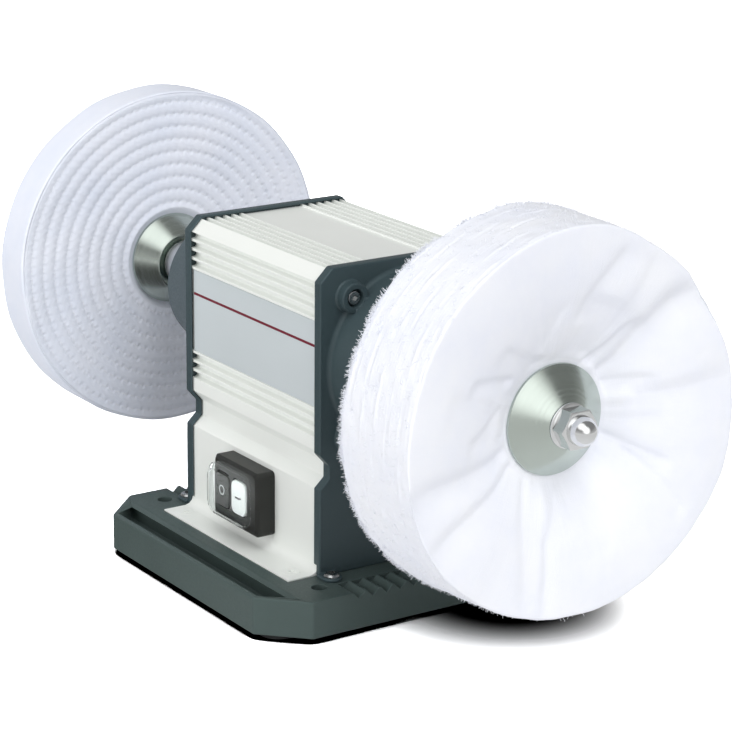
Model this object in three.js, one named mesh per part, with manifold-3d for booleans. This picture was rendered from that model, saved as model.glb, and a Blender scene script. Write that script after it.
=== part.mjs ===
// Bench polishing machine: a finned motor housing on a cast base, with a cloth buff at each end of
// its spindle. Millimetres, +Z up. X runs along the spindle, -Y faces the operator, and the origin
// is on the bench under the middle of the machine.

import * as THREE from 'three';
import { mergeGeometries, mergeVertices } from 'three/addons/utils/BufferGeometryUtils.js';
import Module from 'manifold-3d';

const wasm = await Module();
wasm.setup();

// Clearances
const seatGap = 0.3; // between pieces that seat in or on each other
const runningGap = 0.8; // round what turns or slides
const overrun = 2; // how far a cut runs past the face that it opens
const blend = 0.5; // how far two joined forms sink into each other

// Facets on round forms
const buffSides = 32;
const coneSides = 24;
const roundSides = 24;
const bearingSides = 16;
const smallSides = 12;
const screwSides = 8;
const cornerSteps = 3;

// Lengths along the spindle, from the middle outwards
const housingHalfLength = 65.5;
const plateThickness = 3.5;
const bossLength = 49; // of the bearing boss outside its plate
const bearingCover = 5.7; // from each bearing to the end of its boss
const bearingWidth = 11;
const spacerLength = 50.7; // from each bearing to its inner flange
const innerFlangeLength = 14.5;
const hubWidth = 17.5; // of each buff, between its flanges
const outerFlangeLength = 12;
const nutLength = 10;
const domeLength = 9; // of the cap nut outside its hexagon
const threadReach = 4; // of the spindle into that dome
const threadInset = 1.5; // from the buff's hub back to where the thread starts
const plateFace = housingHalfLength + plateThickness;
const coneEnd = plateFace + bossLength;
const bearingShoulder = coneEnd - bearingCover - bearingWidth;
const hubInner = bearingShoulder + bearingWidth + spacerLength + innerFlangeLength;
const hubOuter = hubInner + hubWidth;
const nutTip = hubOuter + outerFlangeLength + nutLength + domeLength;
const threadStart = hubInner - threadInset;
const threadEnd = nutTip - domeLength + threadReach;

// Spindle and bearings
const shaftHeight = 135.5; // axis above the bench
const bearingBoreRadius = 7.5;
const bearingRadius = 17.5;
const ballCount = 7;
const ballShare = 0.26; // ball radius, as a share of the space between bore and outside
const shoulderShare = 0.6; // half the gap between the rings, as a share of the ball radius
const threadRadius = 6;
const threadLead = 1;

// Cast base
const baseMargin = 28.5; // from each end plate out to the side of the base
const baseLength = 2 * (plateFace + baseMargin);
const baseWidth = 195;
const baseHeight = 20.5;
const footLift = 3; // rubber that shows under the base
const baseChamfer = 22.5;
const baseWall = 4;
const rimWidth = 3.6;
const deckThickness = 7;
const troughBack = 18.5; // from the front face to the trough's back wall
const troughDepth = 10;
const ribWidth = 3;
const pocketColumns = 4;
const pocketRows = 4;
const deckGroovePitch = 8.55;
const deckGrooveDepth = 3.5;
const deckGrooveCount = 12;
const deckGrooveMargin = 1.5; // from the plates' foot lugs to the start of the grooves
const baseTop = footLift + baseHeight;
const troughBackY = troughBack - baseWidth / 2;

// Holes and screws in the base
const benchBoltInsetX = 16.5; // from the side of the base
const benchBoltInsetY = 36.5; // from its front or rear face
const benchBoltX = baseLength / 2 - benchBoltInsetX;
const benchBoltY = baseWidth / 2 - benchBoltInsetY;
const benchBoltRadius = 4.2;
const benchBossRadius = 8;
const footInsetX = 25.5;
const footInsetY = 17.5;
const footX = baseLength / 2 - footInsetX;
const footY = baseWidth / 2 - footInsetY;
const footRadius = 12;
const footRecess = 4;
const footTaper = 1;
const footStemRadius = 4;
const footStemLength = 6;
const footBossRadius = 14.5;
const screwBossRadius = 6;
const screwRadius = 2.5;
const screwBossFloor = 2; // left under each blind screw hole

// Motor housing, an extrusion open at the bottom, with a tunnel for the stator
const bodyHalfDepth = 53.25; // of the end plates' outline
const bodyRise = 53.75; // top of the end plates above the axis
const bodyChamfer = 7.4;
const waistTopRise = 66.9; // above the deck, as are the next three
const waistUpperRise = 60.5;
const waistLowerRise = 53;
const waistBottomRise = 47.7;
const waistInset = 5.7;
const plateProud = 1.5; // how far the end plates stand past the fins
const finPitch = 5.2;
const finTip = 1.3;
const finDepth = 3.5;
const topFins = 5; // on each side of the flat on top
const upperFins = 4;
const lowerFins = 3;
const panelHeight = 46.5; // flat between the upper and the lower fins
const panelDepth = 1;
const labelThickness = 0.6;
const tunnelWall = 2.95;
const tunnelChamfer = 6;
const webThickness = 4;
const lowerWall = 4;
const seatDepth = 2.5; // recess in the deck for the housing's foot
const flangeThickness = 3;
const flangeReach = 70.3;
const flangeFillet = 5;
const flangeScrewInsetX = 10.5; // from the end of the flange
const flangeScrewInsetY = 8.3; // from its free edge
const flangeScrewX = housingHalfLength - flangeScrewInsetX;
const flangeScrewY = flangeReach - flangeScrewInsetY;
const flangeHeadRadius = 4.8;
const flangeHeadDepth = 2.2;
const leadHoleRadius = 4.5;
const seatHeight = baseTop - seatDepth;
const flangeTop = seatHeight + flangeThickness;
const housingHalfDepth = bodyHalfDepth - plateProud;
const statorRadius = housingHalfDepth - finDepth - tunnelWall - seatGap;
const tunnelHalf = statorRadius + seatGap;
const webUnderside = shaftHeight - tunnelHalf - webThickness;

// End plates
const lipDepth = 2.5;
const coneBaseRadius = 46.5;
const coneEndRadius = 37.5;
const coneWall = 4;
const coneFootRadius = 49.5; // where the fillet round the boss meets the plate
const coneFootHeight = 2.5;
const coneCorner = 2;
const bearingWall = 4;
const sleeveRadius = 13;
const washerWave = 0.35;
const washerThickness = 0.4;
const washerWaves = 3;
const washerRoom = 2 * washerWave + washerThickness + seatGap;
const tieBoltInsetY = 17.75; // from the front or rear edge of the plate
const tieBoltInsetZ = 16.15; // from its top, and as far below the axis as above it
const tieBoltY = bodyHalfDepth - tieBoltInsetY;
const tieBoltZ = bodyRise - tieBoltInsetZ;
const tieBossRadius = 8;
const tieBossHeight = 6;
const tieCounterbore = 4.8;
const tieCounterboreDepth = 4.5;
const tieHeadRadius = 3.7;
const tieHeadHeight = 3;
const tieSocketRadius = 1.8;
const tieSocketDepth = 1.6;
const lugReach = 6; // from the plate's face to the screw
const lugX = plateFace + lugReach;
const lugY = 49.5;
const lugRadius = 5.5;
const lugThickness = 2;
const lugHeadRadius = 4.2;
const lugHeadHeight = 2;
const lugSocketRadius = 2;
const lugSocketDepth = 1.2;
const deckGrooveStart = lugX + lugRadius + deckGrooveMargin;

// Motor
const statorHalfLength = 33;
const statorBoreRadius = 27.6;
const statorSlots = 12;
const slotMouth = 3;
const slotWidth = 7;
const slotNeck = 2.4;
const slotDepth = 9;
const toothSteps = 2;
const airGap = 0.6;
const windingLength = 21;
const leadHoleX = statorHalfLength + windingLength / 2;
const windingInnerRadius = 31;
const windingOuterRadius = 42;
const windingCorner = 4;
const rotorBoreRadius = 10;
const endRingLength = 6;
const endRingOuterRadius = 25;
const endRingInnerRadius = 15;
const shaftRadius = 9;
const leadRadius = 2.2;
const leadBendShare = 0.3; // how sharply the leads curve, as a share of their drop
const leadSteps = 10;
const leadSides = 3;
const capacitorRadius = 16;
const capacitorLength = 62;
const capacitorEdge = 1;
const capacitorTagRadius = 4;
const capacitorTagHeight = 4;
const capacitorX = -19;
const capacitorY = 20;
const clipThickness = 1.2;
const clipWidth = 12;
const clipReach = 25;
const clipScrewInset = 4;
const clipHeadRadius = 3;
const clipHeadHeight = 1.6;
const clipScrewRadius = 1.5;
const clipScrewDepth = 3;
const terminalX = 40;
const terminalY = 20;
const terminalLength = 30;
const terminalWidth = 18;
const terminalHeight = 16;
const terminalWells = 4;
const terminalWellRadius = 2.2;
const terminalWellDepth = 6;
const terminalWellEdge = 4.5; // from the block's side to the middle of its screw wells

// Cable gland in the rear wall
const glandInset = 27.5; // from the left end of the housing
const glandX = glandInset - housingHalfLength;
const glandRise = 24; // above the deck
const glandBoreRadius = 4;
const glandThreadRadius = 6;
const glandHexRadius = 10;
const glandHexHeight = 4;
const glandNutLength = 14;
const glandNutRadius = 8.5;
const glandNoseRadius = 6;
const glandTail = 5;
const locknutHeight = 3;
const locknutRadius = 9;

// Switch on the front wall
const switchWidth = 45;
const switchHeight = 36;
const switchDepth = 11.5;
const switchRise = 26.5; // centre above the deck
const switchCorner = 2.5;
const switchBevel = 1.6;
const neckWidth = 36;
const neckHeight = 26;
const neckLength = 9;
const contactDepth = 18;
const contactMargin = 2;
const buttonWidth = 14;
const buttonHeight = 19;
const buttonCorner = 4;
const buttonThickness = 4.5;
const buttonProud = 0.8;
const buttonTravel = 2.5;
const buttonRound = 0.8;
const onButtonX = 4.5;
const buttonSpacing = 16.5;
const wellGap = 0.5;
const stemRadius = 2;
const springRadius = 4;
const springWire = 0.5;
const springTurns = 2.5;
const springSteps = 16;
const springSides = 2;
const coverWidth = 39;
const coverHeight = 29.6;
const coverCorner = 6;
const coverX = -3;
const coverDepth = 5.5;
const coverWall = 0.9;
const coverShoulder = 2.5;
const coverRound = 2.2;
const wallFaceY = -housingHalfDepth;
const switchFaceY = wallFaceY - switchDepth;
const switchHeightAbove = baseTop + switchRise;
const wellDepth = buttonThickness - buttonProud + buttonTravel + (springTurns + 1) * springWire + seatGap;

// Clamping stack outside each bearing
const innerFlangeRadius = 26.8;
const innerFlangeEndRadius = 17;
const innerFlangeRecess = 2;
const outerFlangeRadius = 28.2;
const outerFlangeEndRadius = 12.2;
const flangeRim = 1.5;
const dishDepth = 1.5; // hollow in the face that grips the cloth
const dishRadius = 22;
const nutAcross = 19;
const nutCollarRadius = 11.5;
const nutCollarHeight = 1.2;
const domeRadius = 7.6;

// Buffs
const buffRadius = 100;
const sewnInnerBulge = 2.6; // how far its faces stand past its hub
const sewnOuterBulge = 8.8;
const sewnInner = hubInner - sewnInnerBulge;
const sewnOuter = hubOuter + sewnOuterBulge;
const sewnRows = 7;
const sewnDip = 1;
const sewnEdge = 4;
const looseInnerBulge = 22;
const looseOuterBulge = 20.4;
const looseInner = hubInner - looseInnerBulge;
const looseOuter = hubOuter + looseOuterBulge;
const looseRadius = 99.5;
const looseEdge = 9;
const looseShoulder = 3;
const foldDepth = 3.2;
const clothMargin = 1.2; // cloth that stands clear of a flange's rim
// Where each face of the loose buff stands: share of the way from hub to edge, share of the bulge
const dishShares = [[0.12, 0.3], [0.26, 0.58], [0.44, 0.8], [0.64, 0.93], [0.84, 1]];
// Folds in the loose cloth: how many round the face, share of the depth and share of a turn
const foldShares = [[7, 0.5, 0.13], [11, 0.35, 0.41], [16, 0.15, 0.72]];
// Section of a groove between two fins: shares of its width and of its depth
const grooveShares = [[0, 0], [0.08, 0.72], [0.25, 1], [0.75, 1], [0.92, 0.72], [1, 0]];

const right = new THREE.Vector3(1, 0, 0);
const back = new THREE.Vector3(0, 1, 0);
const front = new THREE.Vector3(0, -1, 0);
const up = new THREE.Vector3(0, 0, 1);

// Finishes

function finish(color, roughness, metalness, opacity = 1) {
  return new THREE.MeshStandardMaterial({
    color, roughness, metalness, opacity, transparent: opacity < 1,
  });
}

const castGrey = () => finish(0x445256, 0.55, 0.3);
const whiteCoat = () => finish(0xe8ebe8, 0.4, 0.1);
const rubber = () => finish(0x1d1f20, 0.9, 0);
const blackPlastic = () => finish(0x2b2c2b, 0.5, 0);
const steel = () => finish(0x9aa09c, 0.35, 0.9);
const darkSteel = () => finish(0x55595b, 0.4, 0.9);
const zinc = () => finish(0xc2c9bf, 0.25, 0.95);
const chrome = () => finish(0xe2e4e4, 0.08, 1);
const copper = () => finish(0xa5532a, 0.4, 0.8);
const cotton = () => finish(0xeceef7, 0.95, 0);

// Geometry helpers

// One closed skin: shared corners merged, and triangles that have no area left out.
function welded(geometry) {
  const bare = new THREE.BufferGeometry();
  bare.setAttribute('position', geometry.getAttribute('position'));
  bare.setIndex(geometry.index);
  const merged = mergeVertices(bare);
  const corners = merged.index.array;
  const kept = [];
  for (let i = 0; i < corners.length; i += 3) {
    const [a, b, c] = corners.slice(i, i + 3);
    if (a !== b && b !== c && c !== a) {
      kept.push(a, b, c);
    }
  }
  merged.setIndex(kept);
  merged.computeVertexNormals();
  return merged;
}

function solidOf(geometry) {
  const skin = welded(geometry);
  return new wasm.Manifold(new wasm.Mesh({
    numProp: 3,
    vertProperties: new Float32Array(skin.getAttribute('position').array),
    triVerts: new Uint32Array(skin.index.array),
  }));
}

function geometryOf(solid) {
  const mesh = solid.getMesh();
  const geometry = new THREE.BufferGeometry();
  geometry.setAttribute('position', new THREE.BufferAttribute(mesh.vertProperties, mesh.numProp));
  geometry.setIndex(new THREE.BufferAttribute(mesh.triVerts, 1));
  geometry.computeVertexNormals();
  return geometry;
}

function joined(geometries) {
  return geometryOf(geometries.map(solidOf).reduce((all, next) => all.add(next)));
}

function cut(geometry, tools) {
  return geometryOf(tools.map(solidOf).reduce((left, tool) => left.subtract(tool), solidOf(geometry)));
}

function common(first, second) {
  return geometryOf(solidOf(first).intersect(solidOf(second)));
}

function moved(geometry, x, y, z) {
  return geometry.clone().translate(x, y, z);
}

function copiesAt(geometry, places) {
  return mergeGeometries(places.map((place) => moved(welded(geometry), ...place)));
}

// The four places that mirror (x, y) in both axes, at height z
function fourPlaces(x, y, z) {
  return [[x, y, z], [-x, y, z], [-x, -y, z], [x, -y, z]];
}

// Outlines

function polygon(points) {
  return new THREE.Shape(points.map(([u, v]) => new THREE.Vector2(u, v)));
}

function rectangle(width, height) {
  const [u, v] = [width / 2, height / 2];
  return polygon([[-u, -v], [u, -v], [u, v], [-u, v]]);
}

function chamferedRectangle(width, height, chamfer) {
  const [u, v] = [width / 2, height / 2];
  return polygon([
    [-u, chamfer - v], [chamfer - u, -v], [u - chamfer, -v], [u, chamfer - v],
    [u, v - chamfer], [u - chamfer, v], [chamfer - u, v], [-u, v - chamfer],
  ]);
}

// Moves an open outline of [depth, height] points inwards by a distance, square to each edge.
function inset(points, distance) {
  const normals = points.slice(1).map(([u, v], i) => {
    const [du, dv] = [u - points[i][0], v - points[i][1]];
    const length = Math.hypot(du, dv);
    return [dv / length, -du / length];
  });
  return points.map(([u, v], i) => {
    const before = normals[Math.max(i - 1, 0)];
    const after = normals[Math.min(i, normals.length - 1)];
    const facing = 1 + before[0] * after[0] + before[1] * after[1];
    return [
      u + (distance * (before[0] + after[0])) / facing,
      v + (distance * (before[1] + after[1])) / facing,
    ];
  });
}

// Closes a half outline of [depth, height] points with its mirror image.
function mirrored(half) {
  return [...half, ...half.map(([depth, height]) => [-depth, height]).reverse()]
    .filter(([depth], i, all) => depth !== 0 || i < all.length / 2);
}

// Solids from outlines

function prism(shape, length, basis) {
  const geometry = new THREE.ExtrudeGeometry(shape, {
    depth: length, bevelEnabled: false, curveSegments: screwSides,
  });
  return geometry.applyMatrix4(new THREE.Matrix4().makeBasis(...basis));
}

// An outline drawn as (y, z), pulled along the spindle
function prismAlongX(shape, from, to) {
  return prism(shape, to - from, [back, up, right]).translate(from, 0, 0);
}

// An outline drawn as (x, z), pulled from the back to the front
function prismAlongY(shape, from, to) {
  return prism(shape, to - from, [right, up, front]).translate(0, to, 0);
}

// An outline drawn as (x, y), pulled upwards
function prismUp(shape, from, to) {
  return prism(shape, to - from, [right, back, up]).translate(0, 0, from);
}

// A profile of [radius, height] points, anticlockwise. It starts and ends on the axis, or closes.
function turned(profile, sides) {
  const closed = profile[0][0] > 0 ? [...profile, profile[0]] : profile;
  return new THREE.LatheGeometry(closed.map(([u, v]) => new THREE.Vector2(u, v)), sides);
}

function turnedAboutX(profile, sides) {
  return turned(profile, sides).applyMatrix4(new THREE.Matrix4().makeBasis(up, right, back));
}

function turnedAboutZ(profile, sides) {
  return turned(profile, sides).applyMatrix4(new THREE.Matrix4().makeBasis(right, up, front));
}

function rod(radius, from, to) {
  return [[0, from], [radius, from], [radius, to], [0, to]];
}

function sleeve(inner, outer, from, to) {
  return [[inner, from], [outer, from], [outer, to], [inner, to]];
}

function hexPrism(across, from, to) {
  const corner = across / Math.sqrt(3);
  return turnedAboutX(rod(corner, from, to), 6);
}

// A rounded rectangle of points at one depth, anticlockwise from the front
function roundedRing(width, height, radius, y) {
  const ring = [];
  for (let corner = 0; corner < 4; corner += 1) {
    const [sideX, sideZ] = [[1, 1], [-1, 1], [-1, -1], [1, -1]][corner];
    for (let step = 0; step <= cornerSteps; step += 1) {
      const angle = (Math.PI / 2) * (corner + step / cornerSteps);
      ring.push(new THREE.Vector3(
        sideX * (width / 2 - radius) + radius * Math.cos(angle),
        y,
        sideZ * (height / 2 - radius) + radius * Math.sin(angle),
      ));
    }
  }
  return ring;
}

// A solid through convex rings of points, from the rearmost ring to the front one
function loft(rings) {
  const count = rings[0].length;
  const last = (rings.length - 1) * count;
  const triangles = [];
  for (let k = 0; k < rings.length - 1; k += 1) {
    for (let i = 0; i < count; i += 1) {
      const [a, b] = [k * count + i, k * count + ((i + 1) % count)];
      triangles.push(a, b, b + count, a, b + count, a + count);
    }
  }
  for (let i = 1; i < count - 1; i += 1) {
    triangles.push(0, i + 1, i, last, last + i, last + i + 1);
  }
  const geometry = new THREE.BufferGeometry().setFromPoints(rings.flat());
  geometry.setIndex(triangles);
  return geometry;
}

function piece(name, geometry, material, x = 0, y = 0, z = 0) {
  const mesh = new THREE.Mesh(welded(geometry), material);
  mesh.name = name;
  mesh.position.set(x, y, z);
  return mesh;
}

// The same piece at several places, each with its own number and its own finish
function pieces(name, geometry, makeMaterial, places) {
  return places.map((at, i) => piece(`${name}_${i + 1}`, geometry, makeMaterial(), ...at));
}

// Cast base

function undersidePockets() {
  const [left, nearest] = [baseWall - baseLength / 2, troughBackY + baseWall];
  const [width, depth] = [baseLength - 2 * baseWall, baseWidth / 2 - baseWall - nearest];
  const columnPitch = (width + ribWidth) / pocketColumns;
  const rowPitch = (depth + ribWidth) / pocketRows;
  const pocket = prismUp(
    rectangle(columnPitch - ribWidth, rowPitch - ribWidth), footLift - overrun, baseTop - deckThickness,
  );
  const places = [];
  for (let column = 0; column < pocketColumns; column += 1) {
    for (let row = 0; row < pocketRows; row += 1) {
      places.push([
        left + columnPitch * (column + 0.5) - ribWidth / 2,
        nearest + rowPitch * (row + 0.5) - ribWidth / 2,
        0,
      ]);
    }
  }
  const insideWalls = prismUp(
    chamferedRectangle(width, baseWidth - 2 * baseWall, baseChamfer - baseWall * (2 - Math.SQRT2)),
    footLift - overrun, baseTop,
  );
  const bossHeights = [footLift - 2 * overrun, baseTop];
  const bosses = [
    ...fourPlaces(footX, footY, 0).map((at) => [footBossRadius, at]),
    ...fourPlaces(benchBoltX, benchBoltY, 0).map((at) => [benchBossRadius, at]),
    ...fourPlaces(flangeScrewX, flangeScrewY, 0).map((at) => [screwBossRadius, at]),
    ...fourPlaces(lugX, lugY, 0).map((at) => [screwBossRadius, at]),
  ].map(([radius, at]) => moved(turnedAboutZ(rod(radius, ...bossHeights), screwSides), ...at));
  return cut(common(copiesAt(pocket, places), insideWalls), bosses);
}

function frontTrough() {
  const lip = rimWidth * (Math.SQRT2 - 1); // how far a corner moves along when its edges move in
  const frontY = rimWidth - baseWidth / 2;
  const frontX = baseLength / 2 - baseChamfer - lip;
  const backX = frontX + troughBackY - frontY;
  const outline = polygon([
    [-backX, troughBackY], [-frontX, frontY], [frontX, frontY], [backX, troughBackY],
  ]);
  return prismUp(outline, baseTop - troughDepth, baseTop + overrun);
}

// V grooves across the deck, from each end plate's foot out to the side face
function deckGrooves() {
  const outer = baseLength / 2 + overrun;
  const groove = [];
  for (let i = 0; i < deckGrooveCount; i += 1) {
    const y = (i - (deckGrooveCount - 1) / 2) * deckGroovePitch;
    const section = polygon([
      [y, baseTop - deckGrooveDepth],
      [y + deckGroovePitch / 2, baseTop + blend],
      [y - deckGroovePitch / 2, baseTop + blend],
    ]);
    groove.push(prismAlongX(section, deckGrooveStart, outer));
    groove.push(prismAlongX(section, -outer, -deckGrooveStart));
  }
  return groove;
}

function baseHoles() {
  const below = footLift - overrun;
  const above = baseTop + overrun;
  const blind = footLift + deckThickness;
  const footFloor = footLift + footRecess;
  const footHole = [
    [0, below], [footRadius + seatGap, below], [footRadius + seatGap, footFloor],
    [footStemRadius + seatGap, footFloor],
    [footStemRadius + seatGap, footFloor + footStemLength + seatGap],
    [0, footFloor + footStemLength + seatGap],
  ];
  const screwHole = rod(screwRadius + seatGap, blind, above);
  const clipHole = turnedAboutZ(
    rod(clipScrewRadius + seatGap, -clipScrewDepth - seatGap, overrun), screwSides,
  );
  const holes = [
    [turnedAboutZ(rod(benchBoltRadius, below, above), roundSides), benchBoltX, benchBoltY],
    [turnedAboutZ(footHole, smallSides), footX, footY],
    [turnedAboutZ(screwHole, screwSides), flangeScrewX, flangeScrewY],
    [turnedAboutZ(screwHole, screwSides), lugX, lugY],
  ];
  return [
    ...holes.flatMap(([hole, x, y]) => fourPlaces(x, y, 0).map((at) => moved(hole, ...at))),
    ...clipPlaces().map((at) => moved(clipHole, ...at)),
  ];
}

function housingSeat() {
  const shape = rectangle(2 * (housingHalfLength + seatGap), 2 * (flangeReach + seatGap));
  return prismUp(shape, seatHeight, baseTop + overrun);
}

function baseCasting() {
  const block = prismUp(chamferedRectangle(baseLength, baseWidth, baseChamfer), footLift, baseTop);
  const tools = [frontTrough(), housingSeat(), undersidePockets(), ...deckGrooves(), ...baseHoles()];
  return piece('base_casting', cut(block, tools), castGrey());
}

// Feet with a stem that pushes into the base
function rubberFeet() {
  const height = footLift + footRecess;
  const foot = turnedAboutZ([
    [0, 0], [footRadius - footTaper, 0], [footRadius, footTaper], [footRadius, height],
    [footStemRadius, height], [footStemRadius, height + footStemLength - footTaper],
    [footStemRadius - footTaper, height + footStemLength], [0, height + footStemLength],
  ], smallSides);
  return pieces('rubber_foot', foot, rubber, fourPlaces(footX, footY, 0));
}

// Motor housing

// Outline of the end plates from the top down, as [depth from the middle, height] points
function bodyHalf(bottom) {
  const top = shaftHeight + bodyRise;
  return [
    [0, top],
    [bodyHalfDepth - bodyChamfer, top],
    [bodyHalfDepth, top - bodyChamfer],
    [bodyHalfDepth, baseTop + waistTopRise],
    [bodyHalfDepth - waistInset, baseTop + waistUpperRise],
    [bodyHalfDepth - waistInset, baseTop + waistLowerRise],
    [bodyHalfDepth, baseTop + waistBottomRise],
    [bodyHalfDepth, bottom],
  ];
}

// Grooves that follow each other along a straight edge, each with the tip of a fin after it
function grooves(start, along, inwards, count) {
  const points = [];
  for (let i = 0; i < count; i += 1) {
    for (const [run, depth] of grooveShares) {
      const distance = i * finPitch + run * (finPitch - finTip);
      points.push([
        start[0] + along[0] * distance + inwards[0] * depth * finDepth,
        start[1] + along[1] * distance + inwards[1] * depth * finDepth,
      ]);
    }
  }
  return points;
}

function flangeCorner() {
  const points = [];
  for (let i = 0; i <= cornerSteps; i += 1) {
    const angle = (Math.PI / 2) * (i / cornerSteps);
    points.push([
      housingHalfDepth + flangeFillet * (1 - Math.cos(angle)),
      flangeTop + flangeFillet * (1 - Math.sin(angle)),
    ]);
  }
  return points;
}

function housingHalf() {
  const outer = inset(bodyHalf(flangeTop), plateProud);
  const inner = inset(bodyHalf(seatHeight), plateProud + lowerWall);
  const [, topEdge, frontEdge, waistTop, waistUpper, waistLower, waistBottom] = outer;
  const flatHalf = topEdge[0] - topFins * finPitch;
  const panelTop = frontEdge[1] - upperFins * finPitch;
  const panelBottom = panelTop - panelHeight;
  const panelFace = housingHalfDepth - panelDepth;
  return [
    [0, topEdge[1] - panelDepth],
    [flatHalf, topEdge[1] - panelDepth],
    [flatHalf, topEdge[1]],
    ...grooves([flatHalf + finTip, topEdge[1]], [1, 0], [0, -1], topFins),
    ...grooves(frontEdge, [0, -1], [-1, 0], upperFins),
    [housingHalfDepth, panelTop],
    [panelFace, panelTop],
    [panelFace, panelBottom],
    [housingHalfDepth, panelBottom],
    ...grooves([housingHalfDepth, panelBottom - finTip], [0, -1], [-1, 0], lowerFins),
    waistTop,
    waistUpper,
    waistLower,
    waistBottom,
    ...flangeCorner(),
    [flangeReach, flangeTop],
    [flangeReach, seatHeight],
    [inner[7][0], seatHeight],
    inner[6],
    inner[5],
    [inner[5][0], webUnderside],
    [0, webUnderside],
  ];
}

function switchCutout() {
  const shape = rectangle(neckWidth + 2 * seatGap, neckHeight + 2 * seatGap);
  return moved(
    prismAlongY(shape, wallFaceY - overrun, wallFaceY + lowerWall + overrun), 0, 0, switchHeightAbove,
  );
}

function motorHousing() {
  const outline = polygon(mirrored(housingHalf()));
  const tunnel = chamferedRectangle(2 * tunnelHalf, 2 * tunnelHalf, tunnelChamfer);
  const extrusion = prismAlongX(outline, -housingHalfLength, housingHalfLength);
  const screwHole = turnedAboutZ(flangeScrewProfile(seatGap, overrun), screwSides);
  const rearWall = [housingHalfDepth - lowerWall - overrun, housingHalfDepth + overrun];
  const glandHole = turned(rod(glandThreadRadius + seatGap, ...rearWall), smallSides);
  const leadHole = turnedAboutZ(
    rod(leadHoleRadius, webUnderside - overrun, webUnderside + webThickness + overrun), smallSides,
  );
  const past = housingHalfLength + overrun;
  return piece('motor_housing', cut(extrusion, [
    moved(prismAlongX(tunnel, -past, past), 0, 0, shaftHeight),
    switchCutout(),
    moved(glandHole, glandX, 0, baseTop + glandRise),
    moved(leadHole, leadHoleX, 0, 0),
    ...fourPlaces(flangeScrewX, flangeScrewY, 0).map((at) => moved(screwHole, ...at)),
  ]), whiteCoat());
}

// A countersunk screw, flush with the flange. The hole for it is the same form, wider and longer.
function flangeScrewProfile(gap, past) {
  const tip = footLift + deckThickness + screwBossFloor;
  return [
    [0, tip - past], [screwRadius + gap, tip - past],
    [screwRadius + gap, flangeTop - flangeHeadDepth], [flangeHeadRadius + gap, flangeTop],
    ...(past ? [[flangeHeadRadius + gap, flangeTop + past], [0, flangeTop + past]] : [[0, flangeTop]]),
  ];
}

function flangeScrews() {
  const screw = turnedAboutZ(flangeScrewProfile(0, 0), screwSides);
  return pieces('flange_screw', screw, steel, fourPlaces(flangeScrewX, flangeScrewY, 0));
}

function frontLabel() {
  const height = panelHeight - 2 * seatGap;
  const panelFace = wallFaceY + panelDepth;
  const panelTop = inset(bodyHalf(flangeTop), plateProud)[2][1] - upperFins * finPitch;
  const length = 2 * (housingHalfLength - lipDepth - seatGap);
  const plate = prismAlongY(rectangle(length, height), panelFace - labelThickness, panelFace);
  return piece(
    'front_label', plate, finish(0xc4cdce, 0.45, 0.2), 0, 0, panelTop - panelHeight / 2,
  );
}

// End plates, drawn for the right end

function plateRim() {
  const rim = [housingHalfLength - lipDepth, housingHalfLength + blend];
  const low = flangeTop + flangeFillet;
  const outline = mirrored(bodyHalf(low));
  const opening = mirrored(inset(bodyHalf(low - overrun), plateProud - seatGap));
  return cut(
    prismAlongX(polygon(outline), ...rim),
    [prismAlongX(polygon(opening), rim[0] - overrun, rim[1] + overrun)],
  );
}

// The boss tapers from the plate to the bearing that it holds at its outer end
function bearingBoss(extraDepth) {
  const seat = bearingRadius + seatGap;
  const shoulder = bearingShoulder + bearingWidth + extraDepth;
  const inner = bearingShoulder - runningGap;
  return turnedAboutX([
    [coneBaseRadius - coneWall, housingHalfLength + blend],
    [coneFootRadius, housingHalfLength + blend],
    [coneFootRadius, plateFace],
    [coneBaseRadius, plateFace + coneFootHeight],
    [coneEndRadius, coneEnd - coneCorner],
    [coneEndRadius - coneCorner, coneEnd],
    [sleeveRadius + runningGap, coneEnd],
    [sleeveRadius + runningGap, shoulder],
    [seat, shoulder],
    [seat, inner],
    [seat + bearingWall, inner],
    [seat + bearingWall, coneEnd - 2 * bearingWall],
    [coneEndRadius - coneWall, coneEnd - 2 * bearingWall],
  ], coneSides);
}

function plateLug() {
  const outline = new THREE.Shape();
  outline.moveTo(plateFace - blend, -lugRadius);
  outline.lineTo(lugX, -lugRadius);
  outline.absarc(lugX, 0, lugRadius, -Math.PI / 2, Math.PI / 2, false);
  outline.lineTo(plateFace - blend, lugRadius);
  return prismUp(outline, baseTop, baseTop + lugThickness);
}

function tiePlaces() {
  return fourPlaces(tieBoltY, tieBoltZ, 0).map(([y, z]) => [0, y, shaftHeight + z]);
}

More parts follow.
